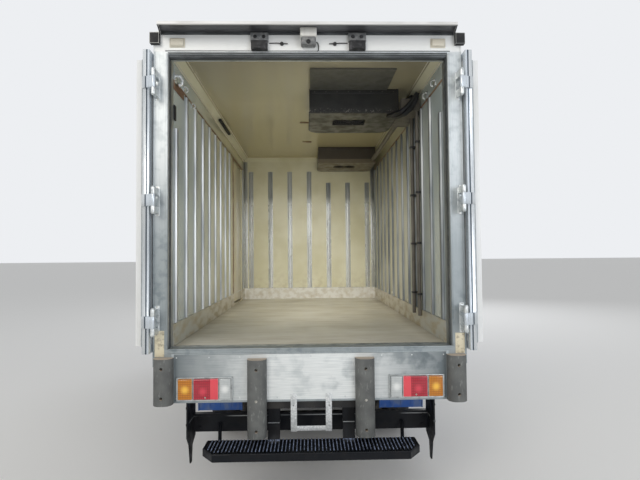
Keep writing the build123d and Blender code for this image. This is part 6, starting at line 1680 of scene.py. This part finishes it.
# Headlamps: a clear moulded cover over two silvered bowls, and an amber flasher beside it.
# The cover is polycarbonate: glassy, faintly fluted, and hazed yellow-grey in patches by age.
lamp_cover, tree, shader, place = surface("clear_polycarbonate_lamp_cover", roughness=0.05,
                                          Transmission_Weight=0.75)
haze = patches(tree, place, 40, 0.42, 0.75, detail=4)
flutes = put(tree, "TexWave", {"Vector": place, "Scale": 16, "Distortion": 0.0}, out="Fac",
             bands_direction="X")
weather(tree, shader, haze, "#E2E6E6", "#CBCBBE", gloss=(0.04, 0.25), relief=(flutes, 0.2, 0.0015))
softened("headlamp_covers", 0.006, lamp_cover, "truck", "headlamp_clear", "headlamps", angle=35)
bowls = bmesh.new()
for side in (-1, 1):
    for x, radius in ((0.577, 0.048), (0.655, 0.034)):
        lathe(bowls, (side * x, FRONT - 0.058, 0.580), (0, 1, 0),
              [(0.004, -0.036), (0.018, -0.032), (radius * 0.7, -0.020), (radius, 0.016),
               (radius + 0.003, 0.016), (radius * 0.72, -0.024), (0.018, -0.038), (0.004, -0.042)], 28)
piece("headlamp_bowls", bowls, mirror_glass, "truck", "headlamp_clear")
bm = bmesh.new()
pair(bm, 0.725, 0.790, FRONT - 0.046, FRONT - 0.017, 0.545, 0.612, 0.008, 3)
piece("front_flashers", bm, amber_lens, "truck", "headlamp_clear")

# Front mudguards and step housings: pressed arches and folded boxes, with a tread plate in each step.
# Painted blue like the rear ones; the plates are aluminium, pressed up in rows of small studs.
softened("front_arches_and_steps", 0.003, guard_paint, "truck", "guard_blue", "front_fenders", angle=40,
         steps=2)
bm = bmesh.new()
for side in (-1, 1):
    slab(bm, side * 0.706, side * 0.832, 2.078, 2.322, 0.4695, 0.476, 0.002)
    for i in range(4):
        for k in range(8):
            slab(bm, side * (0.724 + i * 0.03) - 0.006, side * (0.724 + i * 0.03) + 0.006, 2.092 + k * 0.0285,
                 2.108 + k * 0.0285, 0.4755, 0.4795, 0.0015, 1)
piece("step_treads", bm, polished_strip, "truck", "rail_aluminium")

# Studio: a plain pale floor, a soft even sky, three broad lamps outside and a fourth in the doorway that
# faces in. The camera is where the photographer stood.
ground = surface("pale_studio_floor", roughness=0.9, Base_Color="#F0EFEC")[0]
bm = bmesh.new()
bmesh.ops.create_grid(bm, x_segments=1, y_segments=1, size=150)
mesh = bpy.data.meshes.new("studio_floor")
bm.to_mesh(mesh)
bm.free()
mesh.materials.append(ground)
studio_floor = bpy.data.objects.new("studio_floor", mesh)
bpy.context.scene.collection.objects.link(studio_floor)
studio_floor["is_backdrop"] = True
world = bpy.data.worlds.new("studio_sky")
bpy.context.scene.world = world
world.use_nodes = True
sky = world.node_tree
backing = sky.nodes["Background"]
rays = put(sky, "LightPath", out=None)
seen = put(sky, "Math", {0: put(sky, "Math", {0: rays["Is Camera Ray"], 1: rays["Is Glossy Ray"]},
                                operation="MAXIMUM"), 1: rays["Is Transmission Ray"]}, operation="MAXIMUM")
wire(sky, backing, {
    "Color": "#EDEFF2",
    "Strength": put(sky, "MapRange", {"Value": seen, 3: 0.62, 4: 1.0})})


def lamp(name, spot, target, across, watts, tint, spread=180):
    """A square soft lamp at spot, turned to a target; spread is the angle of its beam in degrees."""
    light = bpy.data.lights.new(name, "AREA")
    light.size = across
    light.spread = math.radians(spread)
    light.energy = watts
    light.color = linear(tint)[:3]
    obj = bpy.data.objects.new(name, light)
    obj.location = spot
    obj.rotation_euler = (Vector(target) - Vector(spot)).to_track_quat("-Z", "Y").to_euler()
    bpy.context.scene.collection.objects.link(obj)
    return obj


lamp("key", (-3.6, -9.5, 5.4), (0, -1, 1.5), 3.5, 190, "#FFF8EE")
lamp("fill", (4.4, -8.6, 2.6), (0, -1, 1.5), 3.0, 110, "#F4F8FF")
lamp("far_side", (3.5, 8.6, 6.0), (0, 1.6, 1.2), 3.5, 200, "#F7FAFF")
doorway = lamp("doorway", (0.0, REAR + 0.25, 2.15), (0, 0.9, 1.02), 0.95, 6, "#FFFCF4", 66)
doorway.visible_glossy = False
view = bpy.data.cameras.new("camera")
view.sensor_width = 36.0
view.lens = 26.6
YAW, PITCH, ROLL = 0.0231, 0.0332, -0.0087
ahead = Vector((math.sin(YAW) * math.cos(PITCH), math.cos(YAW) * math.cos(PITCH), math.sin(PITCH)))
level = Vector((math.cos(YAW), -math.sin(YAW), 0))
above = level.cross(ahead)
across = level * math.cos(ROLL) + above * math.sin(ROLL)
upward = above * math.cos(ROLL) - level * math.sin(ROLL)
camera = bpy.data.objects.new("camera", view)
bpy.context.scene.collection.objects.link(camera)
aimed = Matrix((across, upward, -ahead)).transposed().to_4x4()
camera.matrix_world = Matrix.Translation((-0.0054, REAR - 2.820, 1.511)) @ aimed
bpy.context.scene.camera = camera
bpy.context.scene.view_settings.view_transform = "Standard"
low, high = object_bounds()
